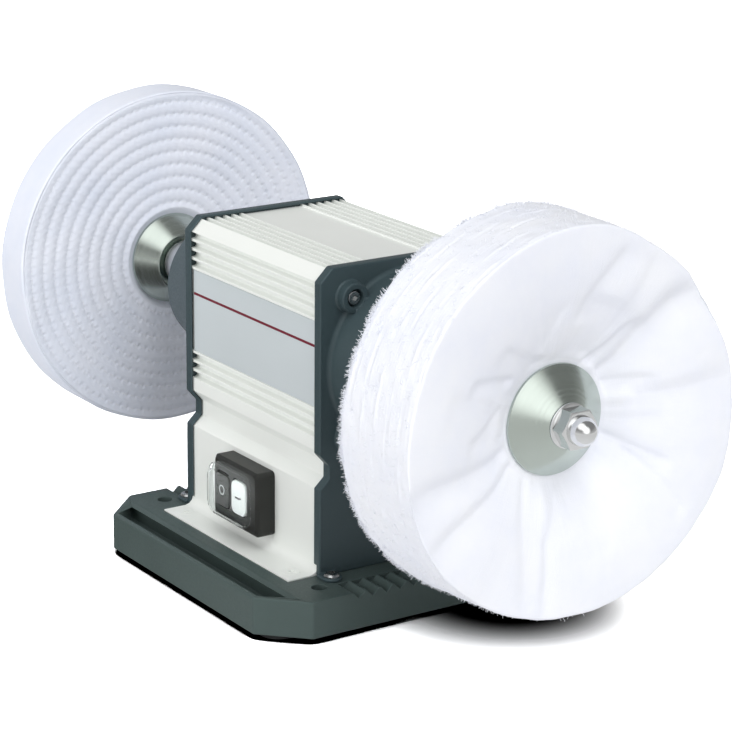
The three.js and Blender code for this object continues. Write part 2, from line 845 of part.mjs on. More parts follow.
function endPlate(side, extraDepth) {
  const web = prismAlongX(polygon(mirrored(bodyHalf(baseTop))), housingHalfLength, plateFace);
  const opening = turnedAboutX(
    rod(coneBaseRadius - coneWall, housingHalfLength - overrun, plateFace + overrun), coneSides,
  );
  const bossFace = plateFace + tieBossHeight;
  const boss = turnedAboutX(rod(tieBossRadius, plateFace - blend, bossFace), smallSides);
  const counterbore = turnedAboutX(
    rod(tieCounterbore, bossFace - tieCounterboreDepth, bossFace + overrun), smallSides,
  );
  const boltHole = turnedAboutX(
    rod(screwRadius + seatGap, housingHalfLength - overrun, bossFace), screwSides,
  );
  const lugHole = turnedAboutZ(
    rod(screwRadius + seatGap, baseTop - overrun, baseTop + lugThickness + overrun), screwSides,
  );
  const shell = joined([
    cut(web, [moved(opening, 0, 0, shaftHeight)]),
    plateRim(),
    moved(bearingBoss(extraDepth), 0, 0, shaftHeight),
    ...tiePlaces().map((at) => moved(boss, ...at)),
    ...[lugY, -lugY].map((y) => moved(plateLug(), 0, y, 0)),
  ]);
  return piece(`end_plate_${side}`, cut(shell, [
    ...tiePlaces().flatMap((at) => [moved(counterbore, ...at), moved(boltHole, ...at)]),
    ...[lugY, -lugY].map((y) => moved(lugHole, lugX, y, 0)),
  ]), castGrey());
}

// Long bolts that clamp both plates to the housing, with a socket head at the right end
function tieBolts() {
  const seat = plateFace + tieBossHeight - tieCounterboreDepth;
  const far = -plateFace - tieBossHeight + tieCounterboreDepth;
  const blank = turnedAboutX([
    [0, far - tieHeadHeight], [tieHeadRadius, far - tieHeadHeight], [tieHeadRadius, far],
    [screwRadius, far], [screwRadius, seat], [tieHeadRadius, seat],
    [tieHeadRadius, seat + tieHeadHeight], [0, seat + tieHeadHeight],
  ], screwSides);
  const socket = turnedAboutX(
    rod(tieSocketRadius, seat + tieHeadHeight - tieSocketDepth, seat + tieHeadHeight + overrun), 6,
  );
  return pieces('tie_bolt', cut(blank, [socket]), steel, tiePlaces());
}

function lugScrews() {
  const tip = footLift + deckThickness + screwBossFloor;
  const seat = baseTop + lugThickness;
  const blank = turnedAboutZ([
    [0, tip], [screwRadius, tip], [screwRadius, seat], [lugHeadRadius, seat],
    [lugHeadRadius, seat + lugHeadHeight], [0, seat + lugHeadHeight],
  ], screwSides);
  const socket = turnedAboutZ(
    rod(lugSocketRadius, seat + lugHeadHeight - lugSocketDepth, seat + lugHeadHeight + overrun), 6,
  );
  return pieces('plate_foot_screw', cut(blank, [socket]), steel, fourPlaces(lugX, lugY, 0));
}

// Bearings

const ballPitchRadius = (bearingBoreRadius + bearingRadius) / 2;
const ballRadius = (bearingRadius - bearingBoreRadius) * ballShare;
const raceDepth = ballRadius + runningGap;
const raceShoulder = ballRadius * shoulderShare;

// Groove for the balls, as [offset from the pitch circle, offset along the axis] from low to high
function raceGroove(direction) {
  const points = [];
  for (let i = -1; i <= 1; i += 1) {
    const angle = i * Math.acos(raceShoulder / raceDepth);
    points.push([direction * raceDepth * Math.cos(angle), raceDepth * Math.sin(angle)]);
  }
  return points;
}

function bearingOuterRing(side) {
  const middle = bearingShoulder + bearingWidth / 2;
  const groove = raceGroove(1).map(([r, x]) => [ballPitchRadius + r, middle + x]).reverse();
  const profile = [
    [ballPitchRadius + raceShoulder, bearingShoulder],
    [bearingRadius, bearingShoulder],
    [bearingRadius, bearingShoulder + bearingWidth],
    [ballPitchRadius + raceShoulder, bearingShoulder + bearingWidth],
    ...groove,
  ];
  const ring = turnedAboutX(profile, bearingSides);
  return piece(`bearing_outer_ring_${side}`, ring, steel(), 0, 0, shaftHeight);
}

function bearingInnerRing(side) {
  const middle = bearingShoulder + bearingWidth / 2;
  const groove = raceGroove(-1).map(([r, x]) => [ballPitchRadius + r, middle + x]);
  const bore = bearingBoreRadius + seatGap;
  const profile = [
    [bore, bearingShoulder],
    [ballPitchRadius - raceShoulder, bearingShoulder],
    ...groove,
    [ballPitchRadius - raceShoulder, bearingShoulder + bearingWidth],
    [bore, bearingShoulder + bearingWidth],
  ];
  const ring = turnedAboutX(profile, bearingSides);
  return piece(`bearing_inner_ring_${side}`, ring, steel(), 0, 0, shaftHeight);
}

// Balls held in their cage
function ballCage(side) {
  const middle = bearingShoulder + bearingWidth / 2;
  const half = bearingWidth / 2 - runningGap;
  const ring = turnedAboutX(sleeve(
    ballPitchRadius - raceShoulder / 2, ballPitchRadius + raceShoulder / 2, middle - half, middle + half,
  ), smallSides);
  const ball = new THREE.IcosahedronGeometry(ballRadius, 0);
  const balls = [];
  for (let i = 0; i < ballCount; i += 1) {
    const angle = (2 * Math.PI * i) / ballCount;
    balls.push(moved(
      ball, middle, ballPitchRadius * Math.cos(angle), ballPitchRadius * Math.sin(angle),
    ));
  }
  return piece(`ball_cage_${side}`, joined([ring, ...balls]), steel(), 0, 0, shaftHeight);
}

// Wavy spring ring that loads the right bearing against its shoulder
function waveWasher() {
  const inner = bearingShoulder + bearingWidth + washerWave + seatGap / 2;
  const flat = turnedAboutX(sleeve(
    ballPitchRadius + raceShoulder, bearingRadius - seatGap, inner, inner + washerThickness,
  ), bearingSides);
  const points = flat.getAttribute('position');
  for (let i = 0; i < points.count; i += 1) {
    const angle = Math.atan2(points.getZ(i), points.getY(i));
    points.setX(i, points.getX(i) + washerWave * Math.cos(washerWaves * angle));
  }
  return piece('wave_washer', flat, steel(), 0, 0, shaftHeight);
}

// Motor

// Bore of the stator: teeth with arcs facing the rotor, and a slot that widens behind its mouth
function statorBore() {
  const bore = new THREE.Path();
  const pitch = (2 * Math.PI) / statorSlots;
  const mouthAngle = slotMouth / statorBoreRadius;
  const points = [];
  for (let slot = 0; slot < statorSlots; slot += 1) {
    const middle = slot * pitch;
    const section = [
      [-slotMouth, statorBoreRadius], [-slotMouth, statorBoreRadius + slotNeck],
      [-slotWidth, statorBoreRadius + slotNeck + slotNeck / 2], [-slotWidth, statorBoreRadius + slotDepth],
    ];
    for (const [across, radius] of [...section, ...section.map(([u, r]) => [-u, r]).reverse()]) {
      const angle = middle + across / 2 / radius;
      points.push([radius * Math.cos(angle), radius * Math.sin(angle)]);
    }
    for (let step = 1; step < toothSteps; step += 1) {
      const angle = middle + mouthAngle / 2 + (pitch - mouthAngle) * (step / toothSteps);
      points.push([statorBoreRadius * Math.cos(angle), statorBoreRadius * Math.sin(angle)]);
    }
  }
  bore.setFromPoints(points.map(([u, v]) => new THREE.Vector2(u, v)));
  return bore;
}

function statorCore() {
  const outline = new THREE.Shape();
  outline.absarc(0, 0, statorRadius, 0, 2 * Math.PI);
  outline.holes.push(statorBore());
  const stack = prismAlongX(outline, -statorHalfLength, statorHalfLength);
  return piece('stator_core', stack, darkSteel(), 0, 0, shaftHeight);
}

function winding(side) {
  const [from, to] = [statorHalfLength, statorHalfLength + windingLength];
  const profile = [
    [windingInnerRadius, from], [windingOuterRadius, from],
    [windingOuterRadius, to - windingCorner], [windingOuterRadius - windingCorner, to],
    [windingInnerRadius + windingCorner, to], [windingInnerRadius, to - windingCorner],
  ];
  return piece(`winding_${side}`, turnedAboutX(profile, bearingSides), copper(), 0, 0, shaftHeight);
}

function rotorCore() {
  const bore = rotorBoreRadius + seatGap;
  const end = statorHalfLength + endRingLength;
  const radius = statorBoreRadius - airGap;
  const half = [
    [bore, -statorHalfLength], [endRingInnerRadius, -statorHalfLength], [endRingInnerRadius, -end],
    [endRingOuterRadius, -end], [endRingOuterRadius, -statorHalfLength], [radius, -statorHalfLength],
  ];
  const profile = [...half, ...half.map(([r, x]) => [r, -x]).reverse()];
  return piece('rotor_core', turnedAboutX(profile, bearingSides), darkSteel(), 0, 0, shaftHeight);
}

// The machine's leads, from the right winding through the web to the terminal block
function motorLeads() {
  const start = shaftHeight - windingOuterRadius - 2 * seatGap;
  const end = seatHeight + terminalHeight + seatGap;
  const bend = (start - end) * leadBendShare;
  const route = new THREE.CubicBezierCurve3(
    new THREE.Vector3(leadHoleX, 0, webUnderside),
    new THREE.Vector3(leadHoleX, 0, webUnderside - bend),
    new THREE.Vector3(terminalX, terminalY, end + bend),
    new THREE.Vector3(terminalX, terminalY, end),
  );
  const path = new THREE.CurvePath();
  path.add(new THREE.LineCurve3(new THREE.Vector3(leadHoleX, 0, start), route.v0));
  path.add(route);
  const section = new THREE.Shape();
  section.absarc(0, 0, leadRadius, 0, 2 * Math.PI);
  const tube = new THREE.ExtrudeGeometry(section, {
    extrudePath: path, steps: leadSteps, curveSegments: leadSides, bevelEnabled: false,
  });
  return piece('motor_leads', tube, rubber());
}

// Parts in the lower compartment

function runCapacitor() {
  const half = capacitorLength / 2;
  const can = turnedAboutX([
    [0, -half], [capacitorRadius - capacitorEdge, -half], [capacitorRadius, capacitorEdge - half],
    [capacitorRadius, half - capacitorEdge], [capacitorRadius - capacitorEdge, half],
    [capacitorTagRadius, half], [capacitorTagRadius, half + capacitorTagHeight],
    [0, half + capacitorTagHeight],
  ], bearingSides);
  return piece(
    'run_capacitor', can, blackPlastic(), capacitorX, capacitorY, seatHeight + capacitorRadius + seatGap,
  );
}

// A strap over the capacitor, with a foot on each side
function capacitorClip() {
  const inner = capacitorRadius + seatGap;
  const outer = inner + clipThickness;
  const rise = capacitorRadius + seatGap;
  const strap = new THREE.Shape();
  strap.moveTo(clipReach, 0);
  strap.lineTo(clipReach, clipThickness);
  strap.lineTo(outer, clipThickness);
  strap.lineTo(outer, rise);
  strap.absarc(0, rise, outer, 0, Math.PI, false);
  strap.lineTo(-outer, clipThickness);
  strap.lineTo(-clipReach, clipThickness);
  strap.lineTo(-clipReach, 0);
  strap.lineTo(-inner, 0);
  strap.lineTo(-inner, rise);
  strap.absarc(0, rise, inner, Math.PI, 0, true);
  strap.lineTo(inner, 0);
  const body = prismAlongX(strap, -clipWidth / 2, clipWidth / 2);
  const hole = turnedAboutZ(rod(clipScrewRadius + seatGap, -overrun, clipThickness + overrun), screwSides);
  const holes = [1, -1].map((way) => moved(hole, 0, way * (clipReach - clipScrewInset), 0));
  return piece('capacitor_clip', cut(body, holes), zinc(), capacitorX, capacitorY, seatHeight);
}

function clipPlaces() {
  const out = clipReach - clipScrewInset;
  return [out, -out].map((y) => [capacitorX, capacitorY + y, seatHeight]);
}

function clipScrews() {
  const screw = turnedAboutZ([
    [0, -clipScrewDepth], [clipScrewRadius, -clipScrewDepth],
    [clipScrewRadius, clipThickness], [clipHeadRadius, clipThickness],
    [clipHeadRadius, clipThickness + clipHeadHeight], [0, clipThickness + clipHeadHeight],
  ], screwSides);
  return pieces('clip_screw', screw, steel, clipPlaces());
}

function terminalBlock() {
  const shape = rectangle(terminalLength, terminalWidth);
  const block = prismUp(shape, 0, terminalHeight);
  const well = turnedAboutZ(
    rod(terminalWellRadius, terminalHeight - terminalWellDepth, terminalHeight + overrun), screwSides,
  );
  const pitch = terminalLength / terminalWells;
  const wells = [];
  for (let i = 0; i < terminalWells; i += 1) {
    const x = (i - (terminalWells - 1) / 2) * pitch;
    wells.push(moved(well, x, terminalWidth / 2 - terminalWellEdge, 0));
  }
  return piece('terminal_block', cut(block, wells), whiteCoat(), terminalX, terminalY, seatHeight);
}

// Cable gland: thread through the rear wall, hexagon outside it, and a tapering nut

function cableGland() {
  const wall = housingHalfDepth;
  const hexTop = wall + glandHexHeight;
  const end = hexTop + glandNutLength;
  const hex = turned(rod(glandHexRadius, wall, hexTop), 6);
  const body = turned([
    [0, wall - lowerWall - glandTail], [glandThreadRadius, wall - lowerWall - glandTail],
    [glandThreadRadius, wall + blend], [glandNutRadius, hexTop - blend],
    [glandNutRadius, hexTop + glandNutLength / 2], [glandNoseRadius, end], [0, end],
  ], bearingSides);
  const tail = wall - lowerWall - glandTail;
  const bore = turned(rod(glandBoreRadius, tail - overrun, end + overrun), smallSides);
  return piece(
    'cable_gland', cut(joined([hex, body]), [bore]), blackPlastic(), glandX, 0, baseTop + glandRise,
  );
}

function glandLocknut() {
  const face = housingHalfDepth - lowerWall;
  const nut = turned(rod(locknutRadius, face - locknutHeight, face), 6);
  const bore = turned(
    rod(glandThreadRadius + seatGap, face - locknutHeight - overrun, face + overrun), smallSides,
  );
  return piece('gland_locknut', cut(nut, [bore]), blackPlastic(), glandX, 0, baseTop + glandRise);
}

// Switch, drawn round its own centre and placed on the front wall

const buttonPlaces = { on: onButtonX, off: onButtonX - buttonSpacing };

function switchBody() {
  const shell = loft([
    roundedRing(switchWidth, switchHeight, switchCorner, wallFaceY),
    roundedRing(switchWidth, switchHeight, switchCorner, switchFaceY + switchBevel),
    roundedRing(switchWidth - 2 * switchBevel, switchHeight - 2 * switchBevel, switchCorner, switchFaceY),
  ]);
  const neck = prismAlongY(rectangle(neckWidth, neckHeight), wallFaceY - blend, wallFaceY + neckLength);
  const wellSize = [buttonWidth + 2 * wellGap, buttonHeight + 2 * wellGap];
  const well = loft([
    roundedRing(...wellSize, buttonCorner, switchFaceY + wellDepth),
    roundedRing(...wellSize, buttonCorner, switchFaceY - overrun),
  ]);
  const stemHole = turned(
    rod(stemRadius + wellGap, switchFaceY, wallFaceY + neckLength + overrun), smallSides,
  );
  const holes = Object.values(buttonPlaces).flatMap(
    (x) => [moved(well, x, 0, 0), moved(stemHole, x, 0, 0)],
  );
  return piece('switch_body', cut(joined([shell, neck]), holes), blackPlastic());
}

// A push button with a stem that works the contacts behind the wall
function pushButton(kind, material) {
  const face = switchFaceY - buttonProud;
  const rear = face + buttonThickness;
  const cap = loft([
    roundedRing(buttonWidth, buttonHeight, buttonCorner, rear),
    roundedRing(buttonWidth, buttonHeight, buttonCorner, face + buttonRound),
    roundedRing(
      buttonWidth - 2 * buttonRound, buttonHeight - 2 * buttonRound, buttonCorner - buttonRound, face,
    ),
  ]);
  const stem = turned(
    rod(stemRadius, rear - blend, wallFaceY + neckLength - buttonTravel), screwSides,
  );
  return piece(`${kind}_button`, joined([cap, stem]), material, buttonPlaces[kind], 0, 0);
}

// Return spring round a button's stem, between the button and the floor of its well
function buttonSpring(kind) {
  const rear = switchFaceY - buttonProud + buttonThickness;
  const floor = switchFaceY + wellDepth;
  const length = floor - rear - springWire - seatGap;
  class Coil extends THREE.Curve {
    getPoint(t, target = new THREE.Vector3()) {
      const angle = 2 * Math.PI * springTurns * t;
      const y = rear + springWire / 2 + seatGap / 2 + length * t;
      return target.set(springRadius * Math.cos(angle), y, springRadius * Math.sin(angle));
    }
  }
  const wire = new THREE.Shape();
  wire.absarc(0, 0, springWire / 2, 0, 2 * Math.PI);
  const coil = new THREE.ExtrudeGeometry(wire, {
    extrudePath: new Coil(), steps: springSteps, curveSegments: springSides,
    bevelEnabled: false,
  });
  return piece(`${kind}_button_spring`, coil, steel(), buttonPlaces[kind], 0, 0);
}

// Clear cap over both buttons
function switchCover() {
  const dome = (shrink, foot, top) => loft([
    roundedRing(coverWidth - 2 * shrink, coverHeight - 2 * shrink, coverCorner - shrink, foot),
    roundedRing(
      coverWidth - 2 * shrink, coverHeight - 2 * shrink, coverCorner - shrink, top + coverShoulder,
    ),
    roundedRing(
      coverWidth - 2 * shrink - 2 * coverRound, coverHeight - 2 * shrink - 2 * coverRound,
      coverCorner - shrink, top,
    ),
  ]);
  const top = switchFaceY - coverDepth;
  const shell = cut(dome(0, switchFaceY, top), [dome(coverWall, switchFaceY + overrun, top + coverWall)]);
  return piece('switch_cover', shell, finish(0xdfe6e4, 0.1, 0, 0.35), coverX, 0, 0);
}

function contactBlock() {
  const from = wallFaceY + neckLength;
  const block = prismAlongY(
    rectangle(neckWidth - contactMargin, neckHeight - contactMargin), from, from + contactDepth,
  );
  return piece('contact_block', block, blackPlastic());
}

function switchUnit() {
  const unit = new THREE.Group();
  unit.position.z = switchHeightAbove;
  unit.add(
    switchBody(),
    contactBlock(),
    switchCover(),
    pushButton('on', finish(0xdcdedb, 0.4, 0)),
    pushButton('off', blackPlastic()),
    buttonSpring('on'),
    buttonSpring('off'),
  );
  return unit;
}

// Spindle

function spindleShaft() {
  const core = statorHalfLength + endRingLength;
  const half = [
    [rotorBoreRadius, core], [shaftRadius, core], [shaftRadius, bearingShoulder],
    [bearingBoreRadius, bearingShoulder], [bearingBoreRadius, threadStart],
    [threadRadius, threadStart], [threadRadius, threadEnd - threadLead],
    [threadRadius - threadLead, threadEnd], [0, threadEnd],
  ];
  const profile = [...half.map(([r, x]) => [r, -x]).reverse(), ...half];
  return piece('spindle_shaft', turnedAboutX(profile, smallSides), steel(), 0, 0, shaftHeight);
}

function spacerSleeve(side) {
  const profile = sleeve(
    bearingBoreRadius + seatGap, sleeveRadius, bearingShoulder + bearingWidth, hubInner - innerFlangeLength,
  );
  // Behind the bearing, only the inner ring may touch the sleeve.
  const nose = ballPitchRadius - raceShoulder;
  const stepped = [
    profile[0], [nose, profile[0][1]], [nose, bearingShoulder + bearingWidth + runningGap],
    [sleeveRadius, bearingShoulder + bearingWidth + runningGap], profile[2], profile[3],
  ];
  return piece(`spacer_sleeve_${side}`, turnedAboutX(stepped, bearingSides), steel(), 0, 0, shaftHeight);
}

// Cone with its wide face on the buff, dished so that the rim grips, and a recess round the sleeve
function innerFlange(side) {
  const end = hubInner - innerFlangeLength;
  const bore = bearingBoreRadius + seatGap;
  const profile = [
    [bore, end], [sleeveRadius, end], [sleeveRadius + seatGap, end + innerFlangeRecess],
    [innerFlangeEndRadius, end],
    [innerFlangeRadius, hubInner - flangeRim], [innerFlangeRadius, hubInner],
    [dishRadius, hubInner], [bore, hubInner - dishDepth],
  ];
  return piece(`inner_flange_${side}`, turnedAboutX(profile, roundSides), zinc(), 0, 0, shaftHeight);
}

function outerFlange(side) {
  const end = hubOuter + outerFlangeLength;
  const bore = threadRadius + seatGap;
  const profile = [
    [bore, hubOuter + dishDepth], [dishRadius, hubOuter],
    [outerFlangeRadius, hubOuter], [outerFlangeRadius, hubOuter + flangeRim],
    [outerFlangeEndRadius, end], [bore, end],
  ];
  return piece(`outer_flange_${side}`, turnedAboutX(profile, roundSides), zinc(), 0, 0, shaftHeight);
}

// Hexagon with rounded corners on a collar, and a dome that covers the end of the thread
function capNut(side) {
  const from = hubOuter + outerFlangeLength;
  const hexEnd = from + nutLength;
  const corner = nutAcross / Math.sqrt(3);
  const slope = corner - nutAcross / 2;
  const rounding = turnedAboutX([
    [0, from], [corner, from], [corner, hexEnd - slope], [corner - 2 * slope, hexEnd], [0, hexEnd],
  ], bearingSides);
  const collar = turnedAboutX(rod(nutCollarRadius, from, from + nutCollarHeight), bearingSides);
  const rise = nutTip - hexEnd;
  const dome = [[0, hexEnd - blend], [domeRadius, hexEnd - blend]];
  for (let i = 0; i <= cornerSteps; i += 1) {
    const angle = (Math.PI / 2) * (i / cornerSteps);
    dome.push([domeRadius * Math.cos(angle), hexEnd + rise * Math.sin(angle)]);
  }
  dome[dome.length - 1][0] = 0;
  const solid = joined([
    common(hexPrism(nutAcross, from, hexEnd), rounding), collar, turnedAboutX(dome, bearingSides),
  ]);
  const bore = turnedAboutX(rod(threadRadius + seatGap, from - overrun, threadEnd + seatGap), smallSides);
  return piece(`cap_nut_${side}`, cut(solid, [bore]), chrome(), 0, 0, shaftHeight);
}

// Buffs

// Stack of cloth discs sewn in rings: each row of stitches draws the faces in
function sewnBuff(side) {
  const bore = threadRadius + seatGap;
  const hub = Math.max(innerFlangeRadius, outerFlangeRadius) + clothMargin;
  const pitch = (buffRadius - sewnEdge - hub) / sewnRows;
  const inner = [[bore, hubInner], [hub, hubInner]];
  const outer = [[hub, hubOuter], [bore, hubOuter]];
  for (let row = 1; row <= sewnRows; row += 1) {
    const radius = hub + pitch * row;
    inner.push([radius - pitch / 2, sewnInner], [radius, sewnInner + sewnDip]);
    outer.unshift([radius, sewnOuter - sewnDip], [radius - pitch / 2, sewnOuter]);
  }
  const profile = [
    ...inner, [buffRadius, sewnInner + sewnEdge], [buffRadius, sewnOuter - sewnEdge], ...outer,
  ];
  return piece('sewn_buff', turnedAboutX(profile, buffSides), cotton(), 0, 0, shaftHeight);
}

// Loose cloth discs, pinched at the hub and spread at the rim, with folds that run outwards
function looseBuff() {
  const bore = threadRadius + seatGap;
  const hub = Math.max(innerFlangeRadius, outerFlangeRadius) + clothMargin;
  const span = looseRadius - looseEdge - hub;
  const face = (hubFace, edgeFace) => [
    [bore, hubFace], [hub, hubFace],
    ...dishShares.map(([run, bulge]) => [hub + span * run, hubFace + (edgeFace - hubFace) * bulge]),
    [looseRadius - looseShoulder, edgeFace - Math.sign(edgeFace - hubFace) * looseShoulder],
    [looseRadius, edgeFace - Math.sign(edgeFace - hubFace) * looseEdge],
  ];
  const profile = [...face(hubInner, looseInner), ...face(hubOuter, looseOuter).reverse()];
  const disc = turnedAboutX(profile, buffSides);
  const points = disc.getAttribute('position');
  for (let i = 0; i < points.count; i += 1) {
    const [x, y, z] = [points.getX(i), points.getY(i), points.getZ(i)];
    const out = THREE.MathUtils.clamp((Math.hypot(y, z) - hub) / span, 0, 1);
    const turn = Math.atan2(z, y) / (2 * Math.PI);
    const wave = foldShares
      .map(([count, depth, phase]) => depth * Math.cos(2 * Math.PI * (count * turn + phase)))
      .reduce((sum, term) => sum + term, 0);
    const fade = 4 * out * (1 - out) ** 2;
    points.setX(i, x + foldDepth * fade * wave);
  }
  return piece('loose_buff', disc, cotton(), 0, 0, shaftHeight);
}

// Assembly

const machine = new THREE.Group();
machine.add(
  baseCasting(),
  ...rubberFeet(),
  motorHousing(),
  ...flangeScrews(),
  frontLabel(),
  ...tieBolts(),
  ...lugScrews(),
  waveWasher(),
  statorCore(),
  rotorCore(),
  motorLeads(),
  runCapacitor(),
  capacitorClip(),
  ...clipScrews(),
  terminalBlock(),
  cableGland(),
  glandLocknut(),
  switchUnit(),
  spindleShaft(),
);

for (const [side, turn] of [['right', 0], ['left', Math.PI]]) {
  const end = new THREE.Group();
  end.rotation.z = turn;
  end.add(
    endPlate(side, side === 'right' ? washerRoom : 0),
    winding(side),
    bearingOuterRing(side),
    ballCage(side),
    bearingInnerRing(side),
    spacerSleeve(side),
    innerFlange(side),
    side === 'right' ? looseBuff() : sewnBuff(),
    outerFlange(side),
    capNut(side),
  );
  machine.add(end);
}

export default machine;
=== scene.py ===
# Looks of the bench polishing machine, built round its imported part. Sizes are in millimetres
# where a dictionary gives them, and mm turns them into Blender's metres.
import math
import random

import bmesh
import bpy
import numpy as np
from mathutils import Matrix, Quaternion, Vector


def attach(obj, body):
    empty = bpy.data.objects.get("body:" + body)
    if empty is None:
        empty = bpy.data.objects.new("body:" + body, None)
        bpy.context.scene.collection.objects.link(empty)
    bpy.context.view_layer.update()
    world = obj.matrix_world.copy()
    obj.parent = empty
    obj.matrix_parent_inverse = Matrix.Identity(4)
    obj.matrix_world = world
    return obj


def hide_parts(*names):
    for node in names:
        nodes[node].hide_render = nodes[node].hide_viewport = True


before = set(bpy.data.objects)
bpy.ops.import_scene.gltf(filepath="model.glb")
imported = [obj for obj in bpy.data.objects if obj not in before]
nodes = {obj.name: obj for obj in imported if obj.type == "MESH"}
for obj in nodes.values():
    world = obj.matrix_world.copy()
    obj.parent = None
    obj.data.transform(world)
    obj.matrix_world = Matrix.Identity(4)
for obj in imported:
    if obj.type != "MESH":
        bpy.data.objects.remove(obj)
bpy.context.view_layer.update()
scene = bpy.context.scene
mm = 0.001
axisHeight = 135.5  # spindle above the bench
print("frame loaded:", len(nodes), "nodes")


# Camera

cameraSettings = {
    "azimuth": 56.309,
    "elevation": 16.615,
    "roll": 0.509,
    "distance": 1447.74,
    "target": (33.08, 0, 120.09),
    "lens": 132.84,
    "sensor": 36,
}


def placeCamera(s):
    azimuth, elevation = math.radians(s["azimuth"]), math.radians(s["elevation"])
    back = Vector((
        math.sin(azimuth) * math.cos(elevation),
        -math.cos(azimuth) * math.cos(elevation),
        math.sin(elevation),
    ))
    data = bpy.data.cameras.new("camera")
    data.lens, data.sensor_width = s["lens"], s["sensor"]
    data.clip_start, data.clip_end = 0.05, 50
    camera = bpy.data.objects.new("camera", data)
    scene.collection.objects.link(camera)
    camera.location = (Vector(s["target"]) + back * s["distance"]) * mm
    camera.rotation_mode = "QUATERNION"
    turn = Quaternion((0, 0, 1), math.radians(s["roll"]))
    camera.rotation_quaternion = (-back).to_track_quat("-Z", "Y") @ turn
    scene.camera = camera


placeCamera(cameraSettings)


# Nodes for materials

def rgb(red, green, blue):
    def channel(value):
        share = value / 255
        return share / 12.92 if share <= 0.04045 else ((share + 0.055) / 1.055) ** 2.4
    return (channel(red), channel(green), channel(blue), 1)


def addNode(tree, kind, inputs=None, **settings):
    node = tree.nodes.new(kind)
    for name, value in settings.items():
        setattr(node, name, value)
    for socket, value in (inputs or {}).items():
        if isinstance(value, bpy.types.NodeSocket):
            tree.links.new(value, node.inputs[socket])
        else:
            node.inputs[socket].default_value = value
    return node


def startMaterial(name, values):
    material = bpy.data.materials.new(name)
    material.use_nodes = True
    tree = material.node_tree
    shader = tree.nodes["Principled BSDF"]
    for socket, value in values.items():
        shader.inputs[socket].default_value = value
    return material, tree, shader


def place(tree, scale=(1, 1, 1), location=(0, 0, 0)):
    coordinates = addNode(tree, "ShaderNodeTexCoord").outputs["Object"]
    mapping = addNode(tree, "ShaderNodeMapping", {
        "Vector": coordinates, "Scale": scale, "Location": location,
    })
    return mapping.outputs["Vector"]


def grain(tree, vector, scale, detail=3, roughness=0.5):
    noiseNode = addNode(tree, "ShaderNodeTexNoise", {
        "Vector": vector, "Scale": scale, "Detail": detail, "Roughness": roughness,
    })
    return noiseNode.outputs["Fac"]


def ramp(tree, factor, stops):
    node = addNode(tree, "ShaderNodeValToRGB", {"Fac": factor})
    elements = node.color_ramp.elements
    while len(elements) < len(stops):
        elements.new(0.5)
    for element, (position, colour) in zip(elements, stops):
        element.position = position
        element.color = colour if hasattr(colour, "__len__") else (colour, colour, colour, 1)
    return node.outputs["Color"]


def combine(tree, operation, first, second):
    return addNode(tree, "ShaderNodeMath", {0: first, 1: second}, operation=operation).outputs[0]


def bump(tree, height, strength, distance, normal=None):
    inputs = {"Height": height, "Strength": strength, "Distance": distance}
    if normal is not None:
        inputs["Normal"] = normal
    return addNode(tree, "ShaderNodeBump", inputs).outputs["Normal"]


def tinted(colour, share):
    return tuple(channel * share for channel in colour[:3]) + (1,)


def clouded(tree, cloud, colour, low, high):
    return ramp(tree, cloud, [(0.3, tinted(colour, low)), (0.7, tinted(colour, high))])


def fade(tree, value, start, end):
    # A level that runs from one (value, level) to another
    return addNode(tree, "ShaderNodeMapRange", {
        "Value": value, "From Min": start[0], "From Max": end[0],
        "To Min": start[1], "To Max": end[1],
    }).outputs[0]


def vectorMath(tree, operation, inputs):
    return addNode(tree, "ShaderNodeVectorMath", inputs, operation=operation).outputs


def fromAxis(tree):
    # The place across the spindle, from its axis
    return place(tree, (0, 1, 1), (0, 0, -axisHeight * mm))


def ringDistance(tree):
    return vectorMath(tree, "LENGTH", {0: fromAxis(tree)})["Value"]


def wave(tree, value, pitch):
    return combine(tree, "SINE", combine(tree, "MULTIPLY", value, 2 * math.pi / pitch), 0.0)


def connect(tree, shader, colour, roughness, normal):
    for socket, value in (("Base Color", colour), ("Roughness", roughness), ("Normal", normal)):
        tree.links.new(value, shader.inputs[socket])


# Materials

def speckled(name, colour, roughness, relief, spread, shine, clouds, specks, smoother, depth):
    # Faint clouds in the colour, fine specks in the gloss and the relief
    material, tree, shader = startMaterial(name, {
        "Base Color": colour, "Specular IOR Level": shine,
    })
    vector = place(tree)
    speck = grain(tree, vector, specks, 2)
    connect(
        tree, shader, clouded(tree, grain(tree, vector, *clouds), colour, 1 - spread, 1 + spread),
        ramp(tree, speck, [(0.25, roughness - smoother), (0.75, roughness + 0.08)]),
        bump(tree, speck, relief, depth),
    )
    return material


def paint(name, colour, spread, roughness, grainSize, relief, shine=0.5):
    clouds = (22, 4)
    return speckled(
        name, colour, roughness, relief, spread, shine, clouds, 1 / grainSize, 0.06, 0.0003,
    )


def plastic(name, colour, roughness, relief=0.12, spread=0.06, shine=0.5):
    clouds = (60, 3)
    return speckled(name, colour, roughness, relief, spread, shine, clouds, 2600, 0.05, 0.0001)


def turnedMetal(name, colour, roughness, pitch, relief, spread=0.08):
    material, tree, shader = startMaterial(name, {"Metallic": 1})
    rings = ringDistance(tree)
    cloud = grain(tree, place(tree), 45, 5, 0.6)
    streaks = addNode(tree, "ShaderNodeTexNoise", {
        "W": combine(tree, "MULTIPLY", rings, 900.0), "Scale": 1.0, "Detail": 3.0,
    }, noise_dimensions="1D").outputs["Fac"]
    lathe = bump(tree, wave(tree, rings, pitch), relief, 0.00004)
    connect(
        tree, shader, clouded(tree, cloud, colour, 1 - spread, 1 + spread),
        ramp(tree, streaks, [(0.3, roughness * 0.75), (0.7, roughness * 1.3)]),
        bump(tree, streaks, relief, 0.00005, lathe),
    )
    return material


